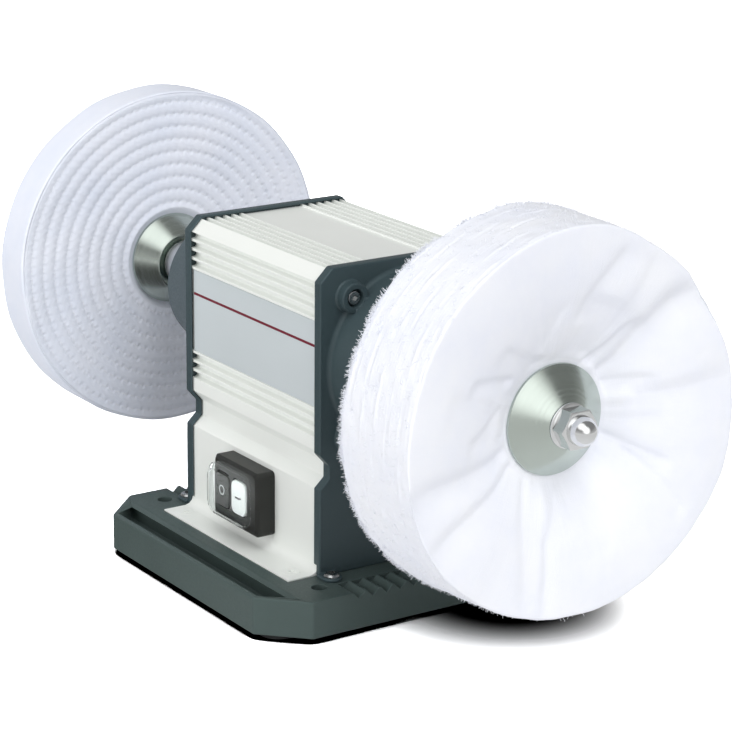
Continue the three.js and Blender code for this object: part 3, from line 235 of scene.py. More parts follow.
def plainMetal(name, colour, roughness, spread=0.1, relief=0.1):
    material, tree, shader = startMaterial(name, {"Metallic": 1})
    cloud = grain(tree, place(tree), 160, 4, 0.6)
    scratches = grain(tree, place(tree, (900, 60, 900)), 1, 2)
    connect(
        tree, shader, clouded(tree, cloud, colour, 1 - spread, 1 + spread),
        ramp(tree, scratches, [(0.3, roughness * 0.8), (0.7, roughness * 1.3)]),
        bump(tree, scratches, relief, 0.00005),
    )
    return material


labelSettings = {
    "film": rgb(207, 215, 218), "stripe": rgb(122, 34, 52), "stripeHeight": 146.9,
    "stripeWidth": 1.5,
}


def labelFilm(name, s):
    material, tree, shader = startMaterial(name, {"Coat Weight": 0.25, "Coat Roughness": 0.25})
    vector = place(tree)
    brushed = grain(tree, place(tree, (40, 900, 1800)), 1, 2)
    shade = clouded(tree, grain(tree, vector, 12, 3), s["film"], 0.96, 1.03)
    height = addNode(tree, "ShaderNodeSeparateXYZ", {"Vector": vector}).outputs["Z"]
    offset = combine(tree, "SUBTRACT", height, s["stripeHeight"] * mm)
    away = combine(tree, "ABSOLUTE", offset, 0.0)
    inside = combine(tree, "LESS_THAN", away, s["stripeWidth"] * mm / 2)
    mixed = addNode(
        tree, "ShaderNodeMix", {0: inside, 6: shade, 7: s["stripe"]}, data_type="RGBA",
    ).outputs[2]
    connect(
        tree, shader, mixed, ramp(tree, brushed, [(0.3, 0.38), (0.7, 0.52)]),
        bump(tree, brushed, 0.06, 0.00005),
    )
    return material


# Rows of stitches on the sewn buff, for the relief of its cloth and for the threads
sewnRows = {"first": 34, "pitch": 7.45, "rows": 9, "stitch": 5.2, "phase": 2.4}
clothSettings = {
    "weavePitch": 0.62, "weaveRelief": 0.35, "sheen": 0.2,
    "quilt": {**sewnRows, "width": 1.3, "depth": 0.6, "pucker": 0.22, "reach": 2.7,
              "slant": 1000, "edge": 98.2, "edgeWidth": 0.5},
    "wrinkles": {"around": 5, "along": 16, "depth": 1.6, "strength": 0.4},
}


def quilted(tree, q):
    # Dimples where the stitches of each row pull the cloth in, slanting puckers beside them
    # and a fine line round the edge
    def step(operation, first, second=0.0):
        return combine(tree, operation, first, second)

    def times(first, second):
        return step("MULTIPLY", first, second)

    def bell(distance, width):
        share = step("DIVIDE", distance, width * mm)
        return step("EXPONENT", times(times(share, share), -1.0))
    pitch, rings = q["pitch"] * mm, ringDistance(tree)
    inside = step("SUBTRACT", rings, q["first"] * mm)
    row = step("ROUND", step("DIVIDE", inside, pitch))
    away = step("SUBTRACT", inside, times(row, pitch))
    axes = addNode(tree, "ShaderNodeSeparateXYZ", {"Vector": fromAxis(tree)}).outputs
    angle = step("ARCTAN2", axes["Y"], axes["Z"])
    length = times(step("ADD", times(row, pitch), q["first"] * mm), 2 * math.pi)
    count = step("ROUND", step("DIVIDE", length, q["stitch"] * mm))
    phase = step("ADD", times(angle, count), times(row, q["phase"]))
    hole = step("POWER", step("ADD", times(step("COSINE", phase), 0.5), 0.5), 3.0)
    dimple = times(bell(away, q["width"]), step("ADD", times(hole, 0.7), 0.3))
    slanted = step("COSINE", step("ADD", phase, times(away, q["slant"])))
    pucker = times(bell(away, q["reach"]), times(slanted, q["pucker"]))
    sewn = times(step("LESS_THAN", row, q["rows"] - 0.5), step("GREATER_THAN", row, -0.5))
    uneven = step("ADD", grain(tree, place(tree), 55, 3), 0.35)
    rows = times(step("SUBTRACT", pucker, dimple), times(sewn, uneven))
    edge = bell(step("SUBTRACT", rings, q["edge"] * mm), q["edgeWidth"])
    return step("SUBTRACT", rows, times(edge, uneven))


def wrinkled(tree, w):
    # Fine folds that run outwards: noise that turns with the angle and hardly changes outwards
    turned = vectorMath(tree, "NORMALIZE", {0: fromAxis(tree)})[0]
    around = vectorMath(tree, "SCALE", {0: turned, 3: w["around"]})[0]
    outwards = addNode(tree, "ShaderNodeCombineXYZ", {
        "X": combine(tree, "MULTIPLY", ringDistance(tree), w["along"]),
    }).outputs[0]
    return grain(tree, vectorMath(tree, "ADD", {0: around, 1: outwards})[0], 1, 4, 0.55)


def cotton(name, colour, shade, s, sewn):
    material, tree, shader = startMaterial(name, {
        "Roughness": 0.95, "Sheen Weight": s["sheen"], "Sheen Roughness": 0.6,
        "Specular IOR Level": 0.2,
    })
    vector, pitch = place(tree), s["weavePitch"] * mm
    cloud = grain(tree, vector, 30, 5, 0.6)
    fuzz = grain(tree, vector, 1500, 3, 0.7)
    axes = addNode(tree, "ShaderNodeSeparateXYZ", {"Vector": vector}).outputs
    weave = combine(
        tree, "MULTIPLY", wave(tree, axes["Y"], pitch), wave(tree, axes["Z"], pitch),
    )
    tree.links.new(ramp(tree, cloud, [(0.3, shade), (0.65, colour)]), shader.inputs["Base Color"])
    normal = bump(tree, weave, s["weaveRelief"] * 0.06, 0.0002)
    normal = bump(tree, fuzz, s["weaveRelief"], 0.0003, normal)
    if sewn:
        quilt = s["quilt"]
        normal = bump(tree, quilted(tree, quilt), 1.0, quilt["depth"] * mm, normal)
    else:
        wrinkles = s["wrinkles"]
        edges = grain(tree, place(tree, (1100, 14, 14)), 1, 3, 0.6)
        normal = bump(tree, edges, 0.1, 0.0009, normal)
        normal = bump(
            tree, wrinkled(tree, wrinkles), wrinkles["strength"], wrinkles["depth"] * mm, normal,
        )
    tree.links.new(normal, shader.inputs["Normal"])
    return material


def clearPlastic(name):
    material, tree, shader = startMaterial(name, {
        "Transmission Weight": 1, "IOR": 1.09, "Base Color": (0.9, 0.92, 0.92, 1),
        "Coat Weight": 0.06, "Coat Roughness": 0.04,
    })
    haze = grain(tree, place(tree), 240, 3)
    tree.links.new(ramp(tree, haze, [(0.3, 0.01), (0.8, 0.05)]), shader.inputs["Roughness"])
    tree.links.new(bump(tree, haze, 0.12, 0.0003), shader.inputs["Normal"])
    return material


def windingWire(name, copper, wireWidth):
    material, tree, shader = startMaterial(name, {"Metallic": 0.8, "Coat Weight": 0.5})
    turns = wave(tree, ringDistance(tree), wireWidth)
    cloud = grain(tree, place(tree), 90, 3)
    connect(
        tree, shader, clouded(tree, cloud, copper, 0.75, 1.2),
        ramp(tree, cloud, [(0.3, 0.3), (0.7, 0.45)]), bump(tree, turns, 0.8, 0.0003),
    )
    return material


def stackedSheets(name, steel):
    material, tree, shader = startMaterial(name, {"Metallic": 0.9})
    sheets = grain(tree, place(tree, (2200, 4, 4)), 1, 1)
    cloud = grain(tree, place(tree), 70, 4)
    connect(
        tree, shader, clouded(tree, cloud, steel, 0.8, 1.15),
        ramp(tree, sheets, [(0.3, 0.35), (0.7, 0.55)]), bump(tree, sheets, 0.6, 0.0002),
    )
    return material


looks = {name: make(name, *values) for name, (make, *values) in {
    "castPaint": (paint, rgb(76, 89, 87), 0.05, 0.45, 0.0011, 0.12, 0.22),
    "platePaint": (paint, rgb(62, 77, 81), 0.05, 0.42, 0.0011, 0.12, 0.38),
    "whitePaint": (paint, rgb(243, 246, 242), 0.015, 0.36, 0.0007, 0.08),
    "labelFilm": (labelFilm, labelSettings),
    "footRubber": (plastic, rgb(30, 31, 32), 0.8, 0.3),
    "screwSteel": (plainMetal, rgb(176, 178, 178), 0.24),
    "markDark": (plastic, rgb(40, 42, 44), 0.5),
    "markPale": (plastic, rgb(190, 194, 194), 0.5),
    "switchPlastic": (plastic, rgb(46, 47, 45), 0.42, 0.15, 0.06, 0.25),
    "buttonWhite": (plastic, rgb(208, 212, 210), 0.35, 0.05, 0.02, 0.3),
    "springSteel": (plainMetal, rgb(150, 152, 154), 0.25),
    "clearCover": (clearPlastic,),
    "zincPlate": (turnedMetal, rgb(190, 199, 192), 0.2, 0.0006, 0.01, 0.03),
    "zincSheet": (plainMetal, rgb(190, 196, 190), 0.35),
    "terminalWhite": (plastic, rgb(225, 224, 214), 0.5, 0.1),
    "glandBlack": (plastic, rgb(38, 38, 39), 0.5, 0.15),
    "bearingSteel": (turnedMetal, rgb(200, 202, 204), 0.14, 0.0005, 0.1),
    "shaftSteel": (turnedMetal, rgb(190, 190, 192), 0.25, 0.0004, 0.2),
    "sleeveSteel": (turnedMetal, rgb(234, 235, 238), 0.45, 0.0006, 0.05),
    "chromeNut": (turnedMetal, rgb(225, 226, 226), 0.09, 0.0004, 0.03, 0.03),
    "windingWire": (windingWire, rgb(160, 84, 44), 0.0009),
    "stackedSheets": (stackedSheets, rgb(118, 120, 122)),
    "leadRubber": (plastic, rgb(52, 52, 55), 0.6, 0.1),
    "looseCloth": (cotton, rgb(246, 248, 254), rgb(240, 243, 253), clothSettings, False),
    "sewnCloth": (cotton, rgb(236, 240, 251), rgb(228, 234, 248), clothSettings, True),
    "threadCotton": (plastic, rgb(238, 240, 246), 0.85, 0.2, 0.02),
}.items()}
print("materials:", len(looks))


# Helpers for meshes

origin = (0, 0, 0)
upright = (0, 0, 1)


def finishPiece(name, bm, body, slotName, look, replaced=(), smooth=35, weighted=True):
    bmesh.ops.remove_doubles(bm, verts=bm.verts, dist=1e-7)
    bmesh.ops.recalc_face_normals(bm, faces=bm.faces)
    mesh = bpy.data.meshes.new(name)
    bm.to_mesh(mesh)
    bm.free()
    return finishMesh(name, mesh, body, slotName, look, replaced, smooth, weighted)


def finishMesh(name, mesh, body, slotName, look, replaced=(), smooth=35, weighted=True):
    obj = bpy.data.objects.new(name, mesh)
    scene.collection.objects.link(obj)
    mesh.materials.clear()
    mesh.materials.append(looks[look])
    mesh.polygons.foreach_set("use_smooth", [True] * len(mesh.polygons))
    mesh.set_sharp_from_angle(angle=math.radians(smooth))
    if weighted:
        modifier = obj.modifiers.new("weightedNormals", "WEIGHTED_NORMAL")
        modifier.keep_sharp = True
    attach(obj, body)
    if replaced:
        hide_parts(*replaced)
    return obj


def creases(bm, angle):
    limit = math.radians(angle)
    return [e for e in bm.edges if len(e.link_faces) == 2 and e.calc_face_angle(0) > limit]


def soften(bm, width, segments=2, angle=35, clamp=False, edges=None):
    chosen = creases(bm, angle) if edges is None else edges
    bmesh.ops.bevel(
        bm, geom=chosen, offset=width * mm, offset_type="OFFSET", segments=segments, profile=0.5,
        affect="EDGES", clamp_overlap=clamp, material=-1,
    )


def onlyVerts(geometry):
    return [v for v in geometry if isinstance(v, bmesh.types.BMVert)]


def edgesAlong(bm, direction):
    return [
        e for e in bm.edges
        if abs((e.verts[0].co - e.verts[1].co).normalized().dot(Vector(direction))) > 0.9
    ]


def shift(bm, by, verts=None):
    bmesh.ops.translate(bm, verts=verts or bm.verts, vec=Vector(by) * mm)


def turnTo(bm, direction, start):
    turn = Vector(start).rotation_difference(Vector(direction)).to_matrix()
    bmesh.ops.rotate(bm, verts=bm.verts, matrix=turn)


def mergedCopy(node):
    bm = bmesh.new()
    bm.from_mesh(nodes[node].data)
    bmesh.ops.remove_doubles(bm, verts=bm.verts, dist=2e-6)
    bmesh.ops.dissolve_limit(
        bm, angle_limit=math.radians(0.6), verts=bm.verts, edges=bm.edges,
        use_dissolve_boundaries=False,
    )
    return bm


def roundedCorner(centre, radius, start, end, steps):
    # Points of a rounded corner, in degrees from the X direction
    points = []
    for i in range(steps + 1):
        turn = math.radians(start + (end - start) * i / steps)
        points.append((centre[0] + radius * math.cos(turn), centre[1] + radius * math.sin(turn)))
    return points


def turnedPiece(profile, steps=96, along=(1, 0, 0), at=(0, 0, axisHeight)):
    # profile: (distance along the axis, radius) in millimetres
    # A piece of many steps is spun as a twelfth, which is then copied round
    parts = 12 if steps > 200 else 1
    bm = bmesh.new()
    verts = [bm.verts.new((x * mm, 0, radius * mm)) for x, radius in profile]
    edges = [bm.edges.new(pair) for pair in zip(verts, verts[1:])]
    if min(profile[0][1], profile[-1][1]) > 0:
        edges.append(bm.edges.new((verts[-1], verts[0])))
    bmesh.ops.spin(
        bm, geom=verts + edges, cent=origin, axis=(1, 0, 0), angle=2 * math.pi / parts,
        steps=steps // parts, use_merge=parts == 1,
    )
    first = bm.verts[:] + bm.edges[:] + bm.faces[:]
    for part in range(1, parts):
        copied = bmesh.ops.duplicate(bm, geom=first)["geom"]
        turn = Matrix.Rotation(2 * math.pi * part / parts, 3, "X")
        bmesh.ops.rotate(bm, verts=onlyVerts(copied), matrix=turn)
    bmesh.ops.remove_doubles(bm, verts=bm.verts, dist=1e-6)
    bmesh.ops.recalc_face_normals(bm, faces=bm.faces)
    turnTo(bm, along, (1, 0, 0))
    shift(bm, at)
    return bm


def mirroredEnd(bm):
    bmesh.ops.rotate(
        bm, verts=bm.verts, cent=(0, 0, axisHeight * mm), matrix=Matrix.Rotation(math.pi, 3, "Z"),
    )
    return bm


def sides(build):
    for side in ("right", "left"):
        bm = build()
        yield side, bm if side == "right" else mirroredEnd(bm)


def asObject(bm, name):
    mesh = bpy.data.meshes.new(name)
    bmesh.ops.recalc_face_normals(bm, faces=bm.faces)
    bm.to_mesh(mesh)
    bm.free()
    obj = bpy.data.objects.new(name, mesh)
    scene.collection.objects.link(obj)
    return obj


def solidResult(first, others):
    base = asObject(first, "solidBase")
    tools = []
    for operation, bm in others:
        tool = asObject(bm, "solidTool")
        modifier = base.modifiers.new("shape", "BOOLEAN")
        modifier.object, modifier.operation, modifier.solver = tool, operation, "EXACT"
        tools.append(tool)
    bpy.context.view_layer.update()
    evaluated = base.evaluated_get(bpy.context.evaluated_depsgraph_get())
    bm = bmesh.new()
    bm.from_mesh(evaluated.to_mesh())
    evaluated.to_mesh_clear()
    for obj in [base, *tools]:
        mesh = obj.data
        bpy.data.objects.remove(obj)
        bpy.data.meshes.remove(mesh)
    return bm


def hexagon(across, start, end, edge=0.0, along=(1, 0, 0), at=(0, 0, axisHeight)):
    bm = bmesh.new()
    bmesh.ops.create_circle(bm, cap_ends=True, segments=6, radius=across / math.sqrt(3) * mm)
    turnTo(bm, along, upright)
    direction = Vector(along)
    shift(bm, Vector(at) + direction * start)
    cap = bmesh.ops.extrude_face_region(bm, geom=bm.faces[:])["geom"]
    shift(bm, direction * (end - start), onlyVerts(cap))
    if edge:
        soften(bm, edge, 3, edges=edgesAlong(bm, along))
    bmesh.ops.recalc_face_normals(bm, faces=bm.faces)
    return bm


def withSocket(bm, s, top, along):
    # A hexagon socket from the top of a screw
    socket = hexagon(s["socket"], top - s["deep"], top + 1, 0, along, origin)
    return solidResult(bm, [("DIFFERENCE", socket)])


def block(size, middle):
    bm = bmesh.new()
    bmesh.ops.create_cube(bm, size=1)
    bmesh.ops.scale(bm, verts=bm.verts, vec=Vector(size) * mm)
    shift(bm, middle)
    return bm


def atPlaces(bm, places):
    # The same form at each of the places, in one mesh
    first = bm.verts[:] + bm.edges[:] + bm.faces[:]
    copies = [bmesh.ops.duplicate(bm, geom=first)["geom"] for _ in places[1:]]
    for geometry, at in zip([first, *copies], places):
        shift(bm, at, onlyVerts(geometry))
    return bm


def middleOf(node):
    obj = nodes[node]
    corners = [obj.matrix_world @ Vector(point) for point in obj.bound_box]
    return sum(corners, Vector()) / len(corners) / mm


# Base, housing and end plates: copies of the solids with their edges rounded

castSettings = {
    "half": 97.5, "corner": 172.5, "deck": 19, "outerRound": 0.9, "deckRound": 0.3, "crease": 38,
    "grooveStart": 81, "grooveHalf": 52, "trayFront": -78.9, "trayFloor": 13, "near": 0.05,
    "housingRound": 0.3, "plateRound": 0.7, "labelRound": 0.2, "switchRound": 0.3,
}


def baseForm(s):
    bm = mergedCopy("base_casting")

    def outer(vert):
        x, y = abs(vert.co.x) / mm, abs(vert.co.y) / mm
        return max(x, y) > s["half"] - s["near"] or x + y > s["corner"] - 2 * s["near"]

    def grooved(vert):
        x, y, z = abs(vert.co.x) / mm, abs(vert.co.y) / mm, vert.co.z / mm
        return x > s["grooveStart"] and y < s["grooveHalf"] and z > s["deck"]

    def trough(vert):
        return vert.co.y / mm < s["trayFront"] and vert.co.z / mm > s["trayFloor"]

    chosen = [
        e for e in creases(bm, s["crease"])
        if all(outer(v) or trough(v) for v in e.verts) and not any(grooved(v) for v in e.verts)
    ]
    soften(bm, s["outerRound"], 3, edges=chosen)
    fine = [
        e for e in creases(bm, s["crease"]) if all(v.co.z / mm > s["deck"] for v in e.verts)
    ]
    soften(bm, s["deckRound"], 2, edges=fine)
    return bm


finishPiece("base_cast", baseForm(castSettings), "machine", "cast_grey", "castPaint",
            ["base_casting"], castSettings["crease"])
for node, name, width, slotName, look in (
    ("motor_housing", "housing_shell", "housingRound", "white_coat", "whitePaint"),
    ("front_label", "label_film_front", "labelRound", "label_film", "labelFilm"),
    ("switch_body", "switch_shell", "switchRound", "switch_black", "switchPlastic"),
    ("switch_cover", "cover_cap", "switchRound", "clear_cover", "clearCover"),
):
    bm = mergedCopy(node)
    soften(bm, castSettings[width], 2, castSettings["crease"])
    finishPiece(name, bm, "machine", slotName, look, [node], castSettings["crease"])
print("base and housing")


# End plates: the solid's web and foot lugs, with a smooth boss and bolt bosses

plateSettings = {
    "face": 69, "outline": 61, "footRadius": 49.5, "fillet": 2.8, "sink": 0.6,
    "room": (60, 130, 170), "roomMiddle": 115,
    "end": 118, "endRadius": 37.5, "endRound": 2, "taperTurn": 77, "bore": 13.8,
    "shoulder": 112.6, "seat": 17.8, "seatStart": 100.5, "seatWall": 21.8, "wallFrom": 110,
    "wallRadius": 33.5, "openRadius": 42.9,
    "boltY": 35.5, "boltZ": 37.6, "bossRadius": 8, "bossRound": 0.8, "bossFace": 75,
    "boreRadius": 4.8, "boreFloor": 70.5, "boltHole": 2.9,
}


def plateForm():
    s = plateSettings
    bm = mergedCopy("end_plate_right")
    outline = [
        e for e in creases(bm, castSettings["crease"])
        if all(math.hypot(v.co.y / mm, v.co.z / mm - axisHeight) > s["outline"] for v in e.verts)
    ]
    soften(bm, castSettings["plateRound"], 2, edges=outline)
    face, rounding, foot = s["face"], s["endRound"], s["footRadius"] + s["sink"]
    room = block(s["room"], (face + s["room"][0] / 2, 0, s["roomMiddle"]))
    boss = turnedPiece([
        (face - s["sink"], s["openRadius"]), (face - s["sink"], foot),
        *roundedCorner((face + s["fillet"], foot), s["fillet"], 180, 270, 6),
        *roundedCorner(
            (s["end"] - rounding, s["endRadius"] - rounding), rounding, s["taperTurn"], 0, 5,
        ),
        (s["end"], s["bore"]), (s["shoulder"], s["bore"]), (s["shoulder"], s["seat"]),
        (s["seatStart"], s["seat"]), (s["seatStart"], s["seatWall"]),
        (s["wallFrom"], s["seatWall"]), (s["wallFrom"], s["wallRadius"]),
    ], 128)
    places = [
        (0, y, axisHeight + z) for y in (-s["boltY"], s["boltY"]) for z in (-s["boltZ"], s["boltZ"])
    ]
    top, radius, curve = s["bossFace"], s["bossRadius"], s["bossRound"]
    bolts = atPlaces(turnedPiece([
        (face - 0.5, 0), (face - 0.5, radius + 1), (face + 0.1, radius + 1),
        (face + 0.6, radius + 0.35), (face + 1.3, radius),
        *roundedCorner((top - curve, radius - curve), curve, 90, 0, 4), (top, 0),
    ], 48, at=origin), places)
    counterbores = atPlaces(turnedPiece([
        (s["boreFloor"], 0), (s["boreFloor"], s["boreRadius"]), (top - 0.4, s["boreRadius"]),
        (top + 0.6, s["boreRadius"] + 1), (top + 1, 0),
    ], 40, at=origin), places)
    holes = atPlaces(turnedPiece([
        (face - 8, 0), (face - 8, s["boltHole"]), (s["boreFloor"] + 1, s["boltHole"]),
        (s["boreFloor"] + 1, 0),
    ], 24, at=origin), places)
    return solidResult(bm, [
        ("DIFFERENCE", room), ("UNION", boss), ("UNION", bolts), ("DIFFERENCE", counterbores),
        ("DIFFERENCE", holes),
    ])


for side, bm in sides(plateForm):
    finishPiece(f"plate_cast_{side}", bm, "machine", "plate_grey", "platePaint",
                [f"end_plate_{side}"], castSettings["crease"])
print("end plates")


# Bolts, screws, feet and gland

smallSettings = {
    "bolt": {"far": 73.5, "seat": 70.5, "head": 3.7, "shank": 2.5, "socket": 3.1, "deep": 1.6},
    "screw": {"tip": 12, "shank": 2.5, "seat": 25.5, "head": 4.2, "top": 27.5, "socket": 3.4,
              "deep": 1.2},
    "flange": {"tip": 12, "shank": 2.5, "seat": 21.8, "head": 4.8, "top": 24, "socket": 3,
               "deep": 0.9},
    "foot": {"radius": 12, "taper": 1, "height": 7, "stem": 4, "stemTop": 13, "round": 0.5},
    "gland": {"wall": 51.75, "tail": 42.75, "thread": 6, "hex": 17.3, "hexTop": 55.75, "nut": 8.2,
              "nutHex": 14.6, "nutTop": 62.75, "nose": 6, "end": 69.75, "bore": 4},
}


def boltForm(s):
    far, head, seat, shank = s["far"], s["head"], s["seat"], s["shank"]
    bm = turnedPiece([
        (-far, 0), (-far, head - 0.5), (-far + 0.5, head), (-seat, head), (-seat, shank),
        (seat, shank), (seat, head), *roundedCorner((far - 0.6, head - 0.6), 0.6, 90, 0, 4),
        (far, 0),
    ], 48, at=origin)
    return withSocket(bm, s, far, (1, 0, 0))


def domedScrew(s):
    top, head, seat = s["top"], s["head"], s["seat"]
    bm = turnedPiece([
        (s["tip"], 0), (s["tip"], s["shank"]), (seat, s["shank"]), (seat, head),
        (seat + 0.5, head), (top - 0.75, head - 0.45), (top - 0.35, head - 1),
        (top - 0.1, head - 1.7), (top, head - 2.4), (top, 0),
    ], 48, upright, origin)
    return withSocket(bm, s, top, upright)


def flushScrew(s):
    top, head, edge = s["top"], s["head"], 0.15
    bm = turnedPiece([
        (s["tip"], 0), (s["tip"], s["shank"]), (s["seat"], s["shank"]), (top - edge, head),
        (top, head - edge), (top, 0),
    ], 48, upright, origin)
    return withSocket(bm, s, top, upright)


def footForm(s):
    radius, height, stem, tip = s["radius"], s["height"], s["stem"], s["stemTop"]
    bm = turnedPiece([
        (0, 0), (0, radius - s["taper"]), (s["taper"], radius), (height, radius),
        (height, stem), (tip - 1, stem), (tip, stem - 1), (tip, 0),
    ], 64, upright, origin)
    soften(bm, s["round"], 3)
    return bm


def glandForm(s):
    along, tail, end, nut = (0, 1, 0), s["tail"], s["end"], s["nut"]
    body = turnedPiece([
        (tail, s["bore"]), (tail, s["thread"]), (s["wall"] + 0.5, s["thread"]),
        (s["hexTop"] - 0.5, nut - 1), (s["hexTop"] + 0.6, nut - 1), (s["hexTop"] + 0.6, nut),
        (s["nutTop"], nut - 0.3), *roundedCorner((end - 1.5, s["nose"] - 1.5), 1.5, 70, 0, 4),
        (end, s["bore"]),
    ], 64, along, origin)
    bore = turnedPiece([
        (tail - 1, 0), (tail - 1, s["bore"]), (end + 1, s["bore"]), (end + 1, 0),
    ], 40, along, origin)
    return solidResult(body, [
        ("UNION", hexagon(s["hex"], s["wall"], s["hexTop"], 0.5, along, origin)),
        ("UNION", hexagon(s["nutHex"], s["hexTop"] + 1, s["nutTop"] - 1, 0.4, along, origin)),
        ("DIFFERENCE", bore),
    ])


for node, name, build, size, slotName, look in (
    ("tie_bolt", "tie_bolt_socket", boltForm, "bolt", "screw_steel", "screwSteel"),
    ("plate_foot_screw", "foot_screw_domed", domedScrew, "screw", "screw_steel", "screwSteel"),
    ("flange_screw", "flange_screw_flush", flushScrew, "flange", "white_coat", "whitePaint"),
    ("rubber_foot", "foot_round", footForm, "foot", "rubber", "footRubber"),
):
    form = build(smallSettings[size])
    for number in range(1, 5):
        copy = form.copy()
        middle = middleOf(f"{node}_{number}")
        shift(copy, (0, middle.y, middle.z) if node == "tie_bolt" else (middle.x, middle.y, 0))
        finishPiece(
            f"{name}_{number}", copy, "machine", slotName, look, [f"{node}_{number}"], 30,
        )
    form.free()
gland, middle = glandForm(smallSettings["gland"]), middleOf("cable_gland")
shift(gland, (middle.x, 0, middle.z))
finishPiece(
    "cable_gland_formed", gland, "machine", "gland_black", "glandBlack", ["cable_gland"], 30,
)
print("small parts")


# Push buttons with their marks

buttonSettings = {
    "width": 14, "height": 19, "face": -64.05, "thickness": 4.5, "corner": 4, "round": 0.9,
    "stem": 2, "stemEnd": -45.3, "middle": 50, "on": 4.5, "off": -12,
    "dash": (5.6, 0.16, 1.1), "dashRound": 0.07,
    "ring": (2.1, 2.75), "ringRound": 0.05, "proud": 0.1,
}


def buttonForm(x, s):
    face, depth = s["face"], s["thickness"]
    bm = block((s["width"], depth, s["height"]), (x, face + depth / 2, s["middle"]))
    soften(bm, s["corner"], 8, edges=edgesAlong(bm, (0, 1, 0)))
    front = [e for e in bm.edges if all(v.co.y < (face + 0.01) * mm for v in e.verts)]
    soften(bm, s["round"], 4, edges=front)
    root = face + depth - 0.5
    stem = turnedPiece([
        (root, 0), (root, s["stem"]), (s["stemEnd"], s["stem"]), (s["stemEnd"], 0),
    ], 32, (0, 1, 0), (x, 0, s["middle"]))
    return solidResult(bm, [("UNION", stem)])


def dashForm(s):
    bm = block(s["dash"], (s["on"], s["face"], s["middle"]))
    soften(bm, s["dashRound"], 2, edges=bm.edges[:])
    return bm


def ringForm(s):
    inner, outer = s["ring"]
    front, back = s["face"] - s["proud"], s["face"] + s["proud"]
    bm = turnedPiece([
        (front, inner), (front, outer), (back, outer), (back, inner),
    ], 48, (0, 1, 0), (s["off"], 0, s["middle"]))
    soften(bm, s["ringRound"], 2)
    return bm


caps = buttonSettings
for name, bm, body, slotName, look, replaced in (
    ("on_button_cap", buttonForm(caps["on"], caps), "on_button", "button_white", "buttonWhite",
     ["on_button"]),
    ("off_button_cap", buttonForm(caps["off"], caps), "off_button", "switch_black", "switchPlastic",
     ["off_button"]),
    ("on_button_dash", dashForm(caps), "on_button", "switch_black", "markDark", []),
    ("off_button_ring", ringForm(caps), "off_button", "button_white", "markPale", []),
):
    finishPiece(name, bm, body, slotName, look, replaced, 40)
print("buttons")


# Clamping stack on the spindle

stackSettings = {
    "bearingEnd": 112.3, "round": 0.35,
    "sleeve": {"bore": 7.8, "radius": 13, "nose": 10.9, "noseEnd": 113.1, "end": 163},
    "inner": {"end": 163, "face": 177.5, "groove": 5, "grooveInner": 13.2, "grooveOuter": 16.5,
              "grooveTaper": 0.6, "small": 17, "radius": 26.8, "rim": 1.5, "dish": 22,
              "dishDepth": 1.5, "bore": 7.8},
    "outer": {"face": 195, "end": 207, "small": 12.2, "radius": 28.2, "rim": 1.5, "dish": 22,
              "dishDepth": 1.5, "bore": 6.3},
}


def clampPiece(profile, steps=128):
    bm = turnedPiece(profile, steps)
    soften(bm, stackSettings["round"])
    return bm


def sleeveForm():
    s, start = stackSettings["sleeve"], stackSettings["bearingEnd"]
    return clampPiece([
        (start, s["bore"]), (start, s["nose"]), (s["noseEnd"], s["nose"]),
        (s["noseEnd"], s["radius"]), (s["end"], s["radius"]), (s["end"], s["bore"]),
    ], 96)


def innerFlangeForm():
    s = stackSettings["inner"]
    end, face, floor = s["end"], s["face"], s["end"] + s["groove"]
    return clampPiece([
        (end, s["bore"]), (end, s["grooveInner"]), (floor, s["grooveInner"]),
        (floor, s["grooveOuter"] - s["grooveTaper"]), (end, s["grooveOuter"]), (end, s["small"]),
        (face - s["rim"], s["radius"]), (face, s["radius"]), (face, s["dish"]),
        (face - s["dishDepth"], s["bore"]),
    ])


def outerFlangeForm():
    s = stackSettings["outer"]
    end, face = s["end"], s["face"]
    return clampPiece([
        (face + s["dishDepth"], s["bore"]), (face, s["dish"]), (face, s["radius"]),
        (face + s["rim"], s["radius"]), (end, s["small"]), (end, s["bore"]),
    ])


for form, name, slotName, look in (
    (sleeveForm, "spacer_sleeve", "sleeve_steel", "sleeveSteel"),
    (innerFlangeForm, "inner_flange", "zinc_plate", "zincPlate"),
    (outerFlangeForm, "outer_flange", "zinc_plate", "zincPlate"),
):
    for side, bm in sides(form):
        finishPiece(f"{name}_turned_{side}", bm, "spindle", slotName, look, [f"{name}_{side}"])


nutSettings = {
    "from": 207, "hexEnd": 217, "tip": 226, "across": 19, "collar": 11.5, "collarHeight": 1.2,
    "collarRound": 0.25, "dome": 7.6, "domeSteps": 10, "bore": 6.3, "boreEnd": 221.3, "round": 0.4,
}


